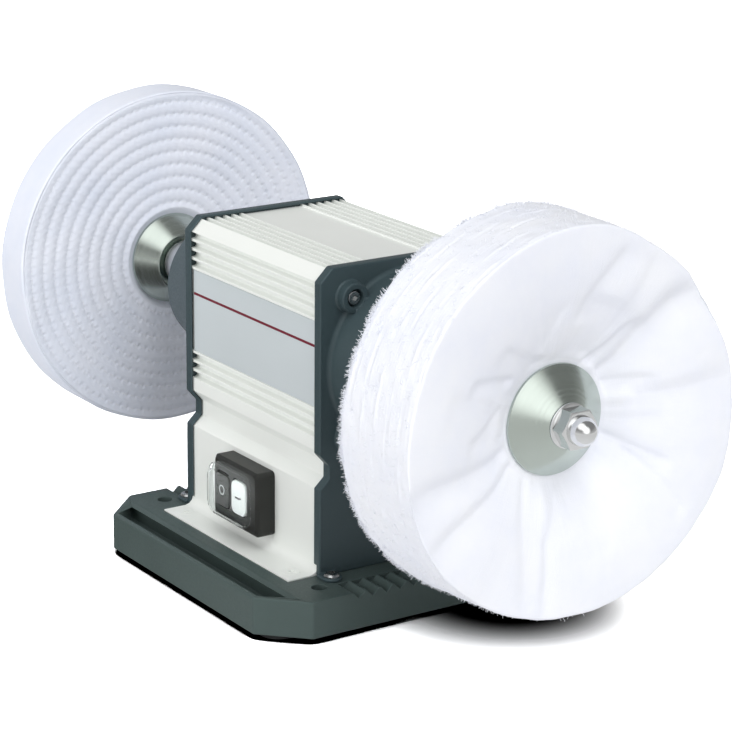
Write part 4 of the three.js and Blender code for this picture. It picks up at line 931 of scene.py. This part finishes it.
def capNutForm():
    s = nutSettings
    start, hexEnd = s["from"], s["hexEnd"]
    halfDiagonal = s["across"] / math.sqrt(3)
    slope = halfDiagonal - s["across"] / 2
    rounding = turnedPiece([
        (start - 1, 0), (start - 1, halfDiagonal + 1), (hexEnd - slope * 0.7, halfDiagonal + 0.2),
        (hexEnd, halfDiagonal - 1.7 * slope), (hexEnd + 1, halfDiagonal - 1.7 * slope - 1),
        (hexEnd + 1, 0),
    ])
    rise = s["tip"] - hexEnd
    dome = [(hexEnd - 1, 0), (hexEnd - 1, s["dome"])]
    for step in range(s["domeSteps"]):
        angle = math.pi / 2 * step / s["domeSteps"]
        dome.append((hexEnd + rise * math.sin(angle), s["dome"] * math.cos(angle)))
    dome.append((s["tip"], 0))
    radius, edge = s["collar"], start + s["collarHeight"]
    collar = turnedPiece([
        (start, 0), (start, radius), (edge, radius), (edge + 0.5, radius - 1.5), (edge + 0.5, 0),
    ])
    soften(collar, s["collarRound"])
    bore = turnedPiece([
        (start - 1, 0), (start - 1, s["bore"]), (s["boreEnd"], s["bore"]), (s["boreEnd"], 0),
    ], 48)
    return solidResult(hexagon(s["across"], start + 0.2, hexEnd, s["round"]), [
        ("INTERSECT", rounding), ("UNION", turnedPiece(dome)), ("UNION", collar),
        ("DIFFERENCE", bore),
    ])


for side, bm in sides(capNutForm):
    finishPiece(f"cap_nut_formed_{side}", bm, "spindle", "chrome_nut", "chromeNut",
                [f"cap_nut_{side}"], 30)
print("clamping stack")


# Helpers for cloth

def angleAndRadius(points):
    y, z = points[:, 1], points[:, 2] - axisHeight * mm
    return np.arctan2(z, y), np.hypot(y, z) / mm


def grow(value, start, width):
    return np.clip((value - start) / width, 0, 1)


def fall(value, end, width):
    return np.clip((end - value) / width, 0, 1)


def wrapped(angle):
    return (angle + math.pi) % (2 * math.pi) - math.pi


def rippleTerms(seed, terms, turns, across, lowest=1):
    rng = random.Random(seed)
    return [
        (rng.uniform(0.4, 1) / math.sqrt(terms), rng.randint(lowest, turns),
         rng.uniform(-across, across), rng.uniform(0, 2 * math.pi))
        for _ in range(terms)
    ]


def ripple(terms, angle, other):
    # Waves round the axis, which drift with the second measure
    return sum(size * np.cos(turns * angle + drift * other + start)
               for size, turns, drift, start in terms)


def toPoints(bm, name):
    mesh = bpy.data.meshes.new(name)
    bm.to_mesh(mesh)
    bm.free()
    points = np.zeros(len(mesh.vertices) * 3)
    mesh.vertices.foreach_get("co", points)
    return mesh, points.reshape(-1, 3)


def setPoints(mesh, points, x, grown):
    # Each point goes to a new place along the axis, and further out or in
    points[:, 0] = x * mm
    points[:, 1] *= grown
    points[:, 2] = axisHeight * mm + (points[:, 2] - axisHeight * mm) * grown
    mesh.vertices.foreach_set("co", points.ravel())
    mesh.update()


def lineUp(start, end, spacing):
    # Points along a straight line, without its end
    count = max(1, round(math.dist(start, end) / spacing))
    return [
        (start[0] + (end[0] - start[0]) * i / count, start[1] + (end[1] - start[1]) * i / count)
        for i in range(count)
    ]


def threadMesh(name, paths, thickness, taper=0.5):
    curve = bpy.data.curves.new(name, "CURVE")
    curve.dimensions = "3D"
    curve.bevel_depth, curve.bevel_resolution = thickness * mm, 0
    curve.use_fill_caps = True
    for path in paths:
        spline = curve.splines.new("POLY")
        spline.points.add(len(path) - 1)
        for i, (point, knot) in enumerate(zip(path, spline.points)):
            knot.co = (*[c * mm for c in point], 1)
            knot.radius = 1 - taper * i / len(path)
    obj = bpy.data.objects.new(name, curve)
    scene.collection.objects.link(obj)
    bpy.context.view_layer.update()
    evaluated = obj.evaluated_get(bpy.context.evaluated_depsgraph_get())
    mesh = bpy.data.meshes.new_from_object(evaluated)
    bpy.data.objects.remove(obj)
    bpy.data.curves.remove(curve)
    return mesh


# Sewn buff on the left: rows of stitches draw its faces in

sewnSettings = {
    **sewnRows, "bore": 6.3, "hub": 28.6, "hubInner": 177.5, "hubOuter": 195,
    "inner": 174.9, "outer": 203.8, "radius": 99.6, "edgeRound": 2.2, "edgeReach": 2.5,
    "rowDepth": 0.42, "rowWidth": 2.1, "wander": 0.22, "waveDepth": 0.45, "plyDepth": 0.5,
    "sink": 0.35, "edgeWave": 0.0035, "edgeDraw": 0.001,
    "stitchThickness": 0.13, "spacing": 0.95, "steps": 480,
    "dent": {"depth": 1.3, "angle": 112, "half": 13, "radius": 96, "width": 1.7},
}
# One stitch, as shares of its length and heights over the cloth
stitchPath = ((0.06, -0.4), (0.22, -0.02), (0.5, 0.06), (0.78, -0.02), (0.94, -0.4))
sewnWaves = {
    "row": rippleTerms(51, 6, 9, 2),
    "face": rippleTerms(52, 14, 12, 2.0),
    "edge": rippleTerms(53, 9, 17, 0.8),
    "ply": rippleTerms(54, 5, 6, 1.0),
}


def sewnProfile(s):
    turn, inner, outer = s["edgeRound"], s["inner"], s["outer"]
    top, foot = s["radius"] - turn, s["hub"] + 1.6
    rim = lineUp((inner + turn, s["radius"]), (outer - turn, s["radius"]), s["spacing"])
    return [
        (s["hubInner"], s["bore"]), (s["hubInner"], s["hub"]),
        *lineUp((inner, foot), (inner, top), s["spacing"]),
        *roundedCorner((inner + turn, top), turn, 180, 90, 5),
        *rim[1:],
        *roundedCorner((outer - turn, top), turn, 90, 0, 5),
        *lineUp((outer, top), (outer, foot), s["spacing"])[1:],
        (outer, foot), (s["hubOuter"], s["hub"]), (s["hubOuter"], s["bore"]),
    ]


def sewnSink(s, angle, radius, side):
    # How far a face lies below its flat form
    first, last = s["first"], s["rows"] - 1
    nearest = np.clip(np.round((radius - first) / s["pitch"]), 0, last)
    offset = radius - first - nearest * s["pitch"]
    offset = offset + s["wander"] * ripple(sewnWaves["row"], angle, nearest)
    groove = np.exp(-((offset / s["rowWidth"]) ** 2))
    loose = 1 - fall(radius, first + last * s["pitch"] + 3, 3)
    waves = ripple(sewnWaves["face"], angle + side, radius / 11) * grow(radius, first, 30)
    ply = s["plyDepth"] * ripple(sewnWaves["ply"], angle + side, radius / 16) * loose
    dent = s["dent"]
    turn = wrapped(angle - math.radians(dent["angle"])) / math.radians(dent["half"])
    out = (radius - dent["radius"]) / dent["width"]
    ply = ply + (side < 0) * dent["depth"] * np.exp(-(turn ** 2) - out ** 2)
    return s["rowDepth"] * groove + s["waveDepth"] * waves + s["sink"] + ply


def sewnBuffForm(s):
    mesh, points = toPoints(turnedPiece(sewnProfile(s), s["steps"]), "sewnBuff")
    angle, radius = angleAndRadius(points)
    x, reach = points[:, 0] / mm, s["edgeReach"]
    middle, half = (s["inner"] + s["outer"]) / 2, (s["outer"] - s["inner"]) / 2
    side = np.sign(x - middle)
    onFace = grow(np.abs(x - middle), half - reach, reach) * grow(radius, s["hub"] + 1, 2)
    x = x - side * onFace * sewnSink(s, angle, radius, side)
    wavy = s["edgeWave"] * ripple(sewnWaves["edge"], angle, x / 10) - s["edgeDraw"]
    setPoints(mesh, points, x, 1 + wavy * (radius > 80))
    return mesh


def sewnStitches(s):
    paths = []
    for side, face in ((-1, s["inner"]), (1, s["outer"])):
        for row in range(s["rows"]):
            radius = s["first"] + row * s["pitch"]
            count = round(2 * math.pi * radius / s["stitch"])
            for stitch in range(count):
                phase = count * math.pi / 2 - s["phase"] * row
                start = (2 * math.pi * stitch + phase) / count
                out = radius - s["wander"] * float(ripple(sewnWaves["row"], start, row))
                path = []
                for share, lift in stitchPath:
                    turn = start + share * s["stitch"] / radius
                    sink = float(sewnSink(s, np.array(turn), np.array(float(radius)), side))
                    x = face - side * (sink - lift)
                    path.append((x, out * math.cos(turn), axisHeight + out * math.sin(turn)))
                paths.append(path)
    return threadMesh("sewnStitches", paths, s["stitchThickness"], 0)


for name, mesh, replaced, look in (
    ("sewn_buff_cloth", sewnBuffForm(sewnSettings), ["sewn_buff"], "sewnCloth"),
    ("sewn_buff_stitches", sewnStitches(sewnSettings), [], "threadCotton"),
):
    mesh.transform(Matrix.Rotation(math.pi, 4, "Z"))
    finishMesh(name, mesh, "spindle", "sewn_cotton", look, replaced, 80, False)
print("sewn buff")


# Loose buff on the right: discs pinched at the hub, folds that fan out and a frayed rim

looseSettings = {
    "bore": 6.3, "hub": 29.6, "hubInner": 177.5, "hubOuter": 195, "middle": 186,
    "inner": 155.5, "outer": 215.3, "radius": 99.4, "shoulder": 6, "lip": 1.1, "dishPower": 2.3,
    "spacing": 1.1, "rimSpacing": 0.6, "steps": 384,
    "layerPitch": 2.1, "layerDepth": 0.16, "gapShare": 0.15, "plyRadius": 0.06, "sway": 0.5,
    "openSide": -145, "lumps": 0.75, "tuftHeight": 0.2,
    "edgeLayer": 1.9, "edgeSway": 0.35, "edgeGap": 2.0, "edgeGapWidth": 0.45,
    "foldDepth": 2.0, "foldShift": 0.45, "steepFlank": 0.8, "wideFlank": 2.2, "softDepth": 0.4,
    "pleatDepth": 0.35, "pleatEnd": 56, "backDepth": 0.6, "backFolds": 15, "seed": 11,
}
# Folds on the outer face: depth, width of the shaded flank and its line as
# (degrees round the axis, radius)
faceFolds = [
    (1.0, 16, [(72, 34), (80, 62)]),
    (1.5, 6.5, [(-163, 34), (-166, 50), (-169, 66), (-170, 82), (-170, 98)]),
    (1.3, 5.5, [(-145, 31), (-148, 48), (-151, 62), (-152, 76), (-151, 98)]),
    (0.7, 3, [(-104, 58), (-103, 76), (-102, 97)]),
    (0.7, 6, [(-126, 32), (-121, 54), (-117, 66), (-111, 92)]),
    (0.5, 5, [(-90, 32), (-98, 45), (-103, 58)]),
    (0.35, 5, [(-64, 42), (-64, 54), (-68, 70)]),
    (0.6, 3, [(-26, 42), (-31, 60), (-37, 86)]),
    (1.0, 4, [(-20, 30), (-22, 44), (-24, 64)]),
    (0.7, 4, [(-45, 31), (-53, 40)]),
    (0.4, 5, [(-5, 32), (-3, 56)]),
    (0.9, 7, [(12, 44), (10, 62), (10, 78), (9, 98)]),
    (2.6, 8, [(36, 31), (40, 42), (45, 53), (47, 68), (45, 84), (42, 98)]),
    (0.7, 4, [(26, 31), (19, 52)]),
    (1.3, 4, [(60, 30), (55, 38), (53, 50), (51, 60)]),
    (0.4, 5, [(61, 50), (61, 70), (62, 92)]),
    (0.8, 4, [(86, 52), (84, 64), (80, 74), (74, 90)]),
    (0.4, 4, [(106, 42), (101, 50), (95, 60)]),
    (0.9, 4.5, [(104, 31), (116, 38), (125, 47), (130, 57)]),
    (1.2, 3, [(139, 40), (145, 51), (151, 64)]),
    (0.5, 6, [(158, 44), (159, 76)]),
    (0.9, 5, [(163, 40), (171, 46), (178, 58)]),
]
# Radius of the outer face's edge, as (degrees, radius)
faceEdge = [
    (-160, 98.5), (-145, 98), (-128, 96.5), (-110, 95.8), (-90, 95.9), (-70, 97.1), (-50, 98.5),
    (-35, 99.2), (-20, 99.3), (-8, 98), (2, 96.4), (12, 96), (20, 94.6), (30, 92.8), (38, 92.6),
    (46, 94.8), (56, 95.2), (65, 96), (74, 98.6), (82, 100.2), (105, 100.6), (135, 100.4),
    (165, 99.2),
]
looseWaves = {
    "soft": rippleTerms(71, 10, 9, 0.8, 3),
    "back": rippleTerms(72, 12, 13, 1.6, 3),
    "pleat": rippleTerms(73, 9, 34, 2.0, 16),
    "sway": rippleTerms(74, 8, 7, 1.2),
    "lump": rippleTerms(75, 8, 9, 0.5, 2),
    "tuft": rippleTerms(76, 16, 60, 5.0, 12),
}


def foldRelief(angle, radius, folds, s):
    # Valleys beside the given lines. The flank that looks down is steep, the other one wide.
    total = np.zeros_like(angle)
    for depth, width, line in folds:
        radii = np.array([point[1] for point in line], float)
        turns = np.unwrap(np.radians([point[0] for point in line]))
        curve = np.polyfit(radii, turns, min(3, len(line) - 1))
        held = np.clip(radius, radii[0] - 3, radii[-1] + 3)
        slant = np.polyval(np.polyder(curve), held) * radius
        upwards = math.copysign(1, math.cos(turns.mean()))
        wide = width * (0.4 + 0.6 * radius / 75)
        away = wrapped(angle - np.polyval(curve, held))
        away = away * radius / np.sqrt(1 + slant ** 2) * upwards + s["foldShift"] * wide
        across = away / (wide * np.where(away > 0, s["steepFlank"], s["wideFlank"]))
        along = grow(radius, radii[0] - 4, 7) * fall(radius, radii[-1] + 6, 9)
        along = along * along * (3 - 2 * along)
        total -= depth * s["foldDepth"] * along * np.exp(-np.abs(across) ** 1.8)
    return total


def randomFolds(s):
    rng = random.Random(s["seed"])
    folds = []
    for i in range(s["backFolds"]):
        start = i * 360 / s["backFolds"] + rng.uniform(-8, 8)
        drift = rng.uniform(-9, 9)
        folds.append((rng.uniform(1.2, 3.4), rng.uniform(3, 6), [
            (start, 31), (start + drift * 0.5, 55), (start + drift, rng.uniform(70, 97)),
        ]))
    return folds


def looseProfile(s):
    inner, outer, full = s["inner"], s["outer"], s["radius"]
    turn, lip = s["shoulder"], s["lip"]
    top, crest = full - turn, full - lip

    def dish(radius, hubFace, face, reach):
        share = min(1, max(0, (radius - s["hub"]) / (reach - s["hub"])))
        return hubFace + (face - hubFace) * (1 - (1 - share) ** s["dishPower"])
    innerRadii = [r for _, r in lineUp((0, s["hub"]), (0, top), s["spacing"])]
    outerRadii = [r for _, r in lineUp((0, s["hub"]), (0, crest), s["spacing"])]
    return [
        (s["hubInner"], s["bore"]),
        *[(dish(r, s["hubInner"], inner, top), r) for r in innerRadii],
        *roundedCorner((inner + turn, top), turn, 180, 90, 9),
        *lineUp((inner + turn, full), (outer - lip, full), s["rimSpacing"])[1:],
        *roundedCorner((outer - lip, crest), lip, 90, 0, 3),
        *[(dish(r, s["hubOuter"], outer, crest), r) for r in reversed(outerRadii)],
        (s["hubOuter"], s["bore"]),
    ]


def rimOffset(angle, x, s):
    # How far the rim lies outside its circle at a place along the axis
    edgeAngles, edgeRadii = zip(*faceEdge)
    outline = np.interp(np.degrees(angle), edgeAngles, edgeRadii, period=360) - s["radius"]
    front = grow(x, s["inner"], s["outer"] - s["inner"])
    lump = s["lumps"] * ripple(looseWaves["lump"], angle, x / 40)
    return outline * front + lump * (1 - 0.8 * front)


def faceRelief(s, angle, radius):
    # Folds and pleats of the outer and of the inner face, quieter towards the rim
    pleat = s["pleatDepth"] * ripple(looseWaves["pleat"], angle, radius / 14)
    pleat *= fall(radius, s["pleatEnd"], 20)
    front = foldRelief(angle, radius, faceFolds, s)
    front += s["softDepth"] * ripple(looseWaves["soft"], angle, radius / 22) + pleat
    back = foldRelief(angle, radius, randomFolds(s), s)
    back += s["backDepth"] * ripple(looseWaves["back"], angle, radius / 14) + pleat
    share = grow(radius, s["hub"], 3) * (1 - 0.5 * grow(radius, 84, 14))
    return share * front, share * back


def rimRelief(s, angle, radius, x):
    # Layer after layer, each with its own radius, and between them thin gaps that wander
    onRim = grow(radius, s["radius"] - 3, 3)
    openness = 0.7 + 0.5 * np.cos(angle - math.radians(s["openSide"]))
    sway = s["sway"] * ripple(looseWaves["sway"], angle, x / 25)
    at = (s["outer"] - x) / s["layerPitch"] + sway
    layer = np.floor(at)
    share = at - layer
    gap = np.exp(-((np.minimum(share, 1 - share) / s["gapShare"]) ** 2))
    own = sum(
        np.cos((3 + 2 * term) * angle + layer * (2.1 + 1.3 * term) + term) for term in range(7)
    )
    edge = s["outer"] - s["edgeLayer"] + s["edgeSway"] * ripple(looseWaves["sway"], angle, 0.0)
    gap = gap + s["edgeGap"] * np.exp(-(((x - edge) / s["edgeGapWidth"]) ** 2))
    tuft = s["tuftHeight"] * ripple(looseWaves["tuft"], angle, x / 8)
    layers = onRim * (own * s["plyRadius"] - s["layerDepth"] * gap * openness + tuft)
    return layers + rimOffset(angle, x, s) * grow(radius, 50, 48) ** 1.5


def looseBuffForm(s):
    mesh, points = toPoints(turnedPiece(looseProfile(s), s["steps"]), "looseBuff")
    angle, radius = angleAndRadius(points)
    x = points[:, 0] / mm
    onFace = radius < s["radius"] - 0.3
    outerFace, innerFace = onFace & (x > s["middle"]), onFace & (x <= s["middle"])
    front, back = faceRelief(s, angle, radius)
    x = x + outerFace * front - innerFace * back
    deep = rimRelief(s, angle, radius, x)
    setPoints(mesh, points, x, (radius + deep) / np.maximum(radius, 1e-6))
    return mesh


finishMesh(
    "loose_buff_cloth", looseBuffForm(looseSettings), "spindle", "loose_cotton", "looseCloth",
    ["loose_buff"], 80, False,
)
print("loose buff")


# Frayed threads: tufts of short cotton ends along the rim of the loose buff

threadSettings = {
    "tufts": 300, "perTuft": (3, 8), "fuzz": 2600, "fringe": 6400, "thickness": 0.13,
    "tuftLength": (1.0, 3.6), "fuzzLength": 1.3, "fringeLength": (0.6, 2.5), "bend": 0.9,
    "root": 1.0, "sunk": 0.6, "fringeSlope": (95, 145), "seed": 29,
}


def rimThread(rng, x, angle, length, lean, drift, curl, root, steps=4):
    path = []
    root = root + float(rimOffset(np.array(angle), np.array(x), looseSettings))
    for step in range(steps + 1):
        share = step / steps
        out = root + length * share * math.cos(lean * 0.6 + curl * share)
        turn = angle + length * share * math.sin(lean + curl * share) / root
        path.append((
            x + drift * length * share, out * math.cos(turn), axisHeight + out * math.sin(turn),
        ))
    return path


def rimThreads(s, rim):
    rng = random.Random(s["seed"])
    pick, inner, outer = rng.uniform, rim["inner"], rim["outer"]
    paths = []
    root = rim["radius"] - s["root"]
    for _ in range(s["tufts"]):
        angle = pick(0, 2 * math.pi)
        x = rng.choice((pick(inner + 4, inner + 16), pick(inner + 4, outer - 1)))
        lean, drift = pick(-1.3, 1.3), pick(-0.7, 0.7)
        reach = pick(*s["tuftLength"])
        for _ in range(rng.randint(*s["perTuft"])):
            paths.append(rimThread(
                rng, x + pick(-0.7, 0.7), angle + pick(-1.1, 1.1) / root, reach * pick(0.6, 1.1),
                lean + pick(-0.4, 0.4), drift + pick(-0.3, 0.3), pick(-s["bend"], s["bend"]), root,
            ))
    for _ in range(s["fuzz"]):
        paths.append(rimThread(
            rng, pick(inner + 3, outer - 0.5), pick(0, 2 * math.pi), s["fuzzLength"] + pick(0, 1),
            pick(-1.5, 1.5), pick(-1, 1), pick(-1, 1), root + 0.4,
        ))
    return threadMesh("rimThreads", paths, s["thickness"])


def fringeThreads(s, rim):
    # Short ends that stand on the rounded inner shoulder, denser in some places than in others
    rng = random.Random(s["seed"] + 1)
    pick, turn = rng.uniform, rim["shoulder"]
    paths = []
    while len(paths) < s["fringe"]:
        angle = pick(0, 2 * math.pi)
        if rng.random() > 0.4 + 0.5 * float(ripple(looseWaves["lump"], 3 * angle, 0.0)):
            continue
        slope = math.radians(pick(*s["fringeSlope"]))
        x = rim["inner"] + turn + (turn - s["sunk"]) * math.cos(slope)
        root = rim["radius"] - turn + (turn - s["sunk"]) * math.sin(slope)
        length = pick(*s["fringeLength"])
        drift = math.cos(slope) + pick(-0.5, 0.5)
        paths.append(rimThread(
            rng, x, angle, length, pick(-1.1, 1.1), drift, pick(-0.9, 0.9), root, 3,
        ))
    return threadMesh("fringeThreads", paths, s["thickness"])


for name, mesh in (
    ("loose_buff_threads", rimThreads(threadSettings, looseSettings)),
    ("loose_buff_fringe", fringeThreads(threadSettings, looseSettings)),
):
    finishMesh(name, mesh, "spindle", "loose_cotton", "threadCotton", [], 60, False)
print("threads")


# CAD nodes that keep their own shape

keptLooks = {
    "screwSteel": ["clip_screw_1", "clip_screw_2"],
    "switchPlastic": ["contact_block", "run_capacitor"],
    "springSteel": ["on_button_spring", "off_button_spring", "wave_washer"],
    "stackedSheets": ["stator_core", "rotor_core"],
    "windingWire": ["winding_right", "winding_left"],
    "leadRubber": ["motor_leads"],
    "zincSheet": ["capacitor_clip"],
    "terminalWhite": ["terminal_block"],
    "glandBlack": ["gland_locknut"],
    "bearingSteel": [f"{name}_{side}" for side in ("right", "left")
                     for name in ("bearing_outer_ring", "ball_cage", "bearing_inner_ring")],
    "shaftSteel": ["spindle_shaft"],
}
for look, names in keptLooks.items():
    for name in names:
        nodes[name].data.materials.clear()
        nodes[name].data.materials.append(looks[look])
print("kept nodes")


# Floor, world and lamps

# From the camera the floor is white, with a painted dark line of shade where the base stands and a
# painted oval shadow.
# In gloss it grows dark to the left, as painted shade in reflections. Each span runs from one
# (value, level) to another.
stageSettings = {
    "floor": 14, "bounce": 0.85, "world": 0.24,
    # Floor colour in gloss, darker to the left: painted shade in its reflection
    "mirrored": ((-0.12, 0.1), (0.1, 0.85)),
    "contact": {"distance": 0.02, "span": ((0.5, 0.0), (0.58, 1.0))},
    "shadow": {"middle": (0.0927, 0.0465), "reach": (0.0764, 0.0668),
               "span": ((0.51, 0.0), (1.127, 1.83))},
    "horizon": ((0.02, 0.6), (0.4, 0.28)),
    "backwards": ((-0.2, 1.0), (0.4, 0.9)),
    "panels": [
        {"from": (0.85, -0.23, 0.48), "span": ((0.82, 0.0), (0.98, 1.4))},
        {"from": (0.3, -0.5, 0.81), "span": ((0.84, 0.0), (0.97, 1.3))},
    ],
    "lamps": [
        {"name": "keyLamp", "from": (-0.02, -0.95, 0.2), "spread": 60, "strength": 1.75},
        {"name": "rightLamp", "from": (0.85, -0.07, 0.46), "spread": 30, "strength": 1.1},
        {"name": "topLamp", "from": (0.42, -0.12, 0.83), "spread": 40, "strength": 1.08},
    ],
}


def cameraRays(tree):
    rays = addNode(tree, "ShaderNodeLightPath").outputs
    seen = combine(tree, "MAXIMUM", rays["Is Camera Ray"], rays["Is Transmission Ray"])
    return seen, rays["Is Glossy Ray"]


# Painted shade in the floor's colour: occlusion darkens a line under the base, and an oval darkens
# the floor as a painted shadow of the right buff
def paintedShadowLevel(tree, s):
    contact = addNode(tree, "ShaderNodeAmbientOcclusion", {
        "Distance": s["contact"]["distance"],
    }, samples=48).outputs["AO"]
    middle, reach = s["shadow"]["middle"], s["shadow"]["reach"]
    oval = place(
        tree, (1 / reach[0], 1 / reach[1], 0), (-middle[0] / reach[0], -middle[1] / reach[1], 0),
    )
    away = vectorMath(tree, "LENGTH", {0: oval})["Value"]
    lit = combine(tree, "POWER", fade(tree, away, *s["shadow"]["span"]), 2)
    return combine(tree, "MULTIPLY", fade(tree, contact, *s["contact"]["span"]), lit)


def makeFloor(s):
    bm = bmesh.new()
    bmesh.ops.create_grid(bm, x_segments=1, y_segments=1, size=s["floor"] / 2)
    floor = asObject(bm, "floor")
    material = bpy.data.materials.new("floorMaterial")
    material.use_nodes = True
    tree = material.node_tree
    tree.nodes.clear()
    seen, glossy = cameraRays(tree)
    across = addNode(tree, "ShaderNodeSeparateXYZ", {"Vector": place(tree)}).outputs["X"]
    # For gloss rays the floor's colour darkens to the left: painted shade in its reflection
    other = addNode(tree, "ShaderNodeMix", {
        0: glossy, 2: s["bounce"], 3: fade(tree, across, *s["mirrored"]),
    }).outputs[0]
    white = addNode(tree, "ShaderNodeBsdfDiffuse", {"Color": paintedShadowLevel(tree, s)}).outputs[0]
    grey = addNode(tree, "ShaderNodeBsdfDiffuse", {"Color": other}).outputs[0]
    shown = addNode(tree, "ShaderNodeMixShader", {0: seen, 1: grey, 2: white}).outputs[0]
    # From below it isn't seen, so that the underside shows
    below = addNode(tree, "ShaderNodeNewGeometry").outputs["Backfacing"]
    clear = addNode(tree, "ShaderNodeBsdfTransparent").outputs[0]
    whole = addNode(tree, "ShaderNodeMixShader", {0: below, 1: shown, 2: clear}).outputs[0]
    addNode(tree, "ShaderNodeOutputMaterial", {"Surface": whole})
    floor.data.materials.append(material)


def makeWorld(s):
    # White behind the object. Gloss sees two bright panels, and less light far behind and above.
    world = bpy.data.worlds.new("studio")
    scene.world = world
    world.use_nodes = True
    tree = world.node_tree
    tree.nodes.clear()
    direction = addNode(tree, "ShaderNodeTexCoord").outputs["Generated"]
    axes = addNode(tree, "ShaderNodeSeparateXYZ", {"Vector": direction}).outputs
    horizon = fade(tree, axes["Z"], *s["horizon"])
    reflected = combine(tree, "MULTIPLY", horizon, fade(tree, axes["Y"], *s["backwards"]))
    for panel in s["panels"]:
        towards = Vector(panel["from"]).normalized()
        facing = vectorMath(tree, "DOT_PRODUCT", {0: direction, 1: towards})["Value"]
        reflected = combine(tree, "ADD", reflected, fade(tree, facing, *panel["span"]))
    seen, glossy = cameraRays(tree)
    lit = addNode(tree, "ShaderNodeMix", {0: glossy, 2: s["world"], 3: reflected}).outputs[0]
    level = addNode(tree, "ShaderNodeMix", {0: seen, 2: lit, 3: 1.0}).outputs[0]
    sky = addNode(tree, "ShaderNodeBackground", {"Color": (1, 1, 1, 1), "Strength": level})
    addNode(tree, "ShaderNodeOutputWorld", {"Surface": sky.outputs[0]})


def makeLamps(s):
    for lamp in s["lamps"]:
        data = bpy.data.lights.new(lamp["name"], "SUN")
        data.angle, data.energy = math.radians(lamp["spread"]), lamp["strength"]
        obj = bpy.data.objects.new(lamp["name"], data)
        scene.collection.objects.link(obj)
        obj.location = Vector(lamp["from"])
        obj.visible_glossy = False
        obj.rotation_euler = Vector(lamp["from"]).to_track_quat("Z", "Y").to_euler()


makeFloor(stageSettings)
makeWorld(stageSettings)
makeLamps(stageSettings)
scene.view_settings.view_transform = "Standard"
print("stage")
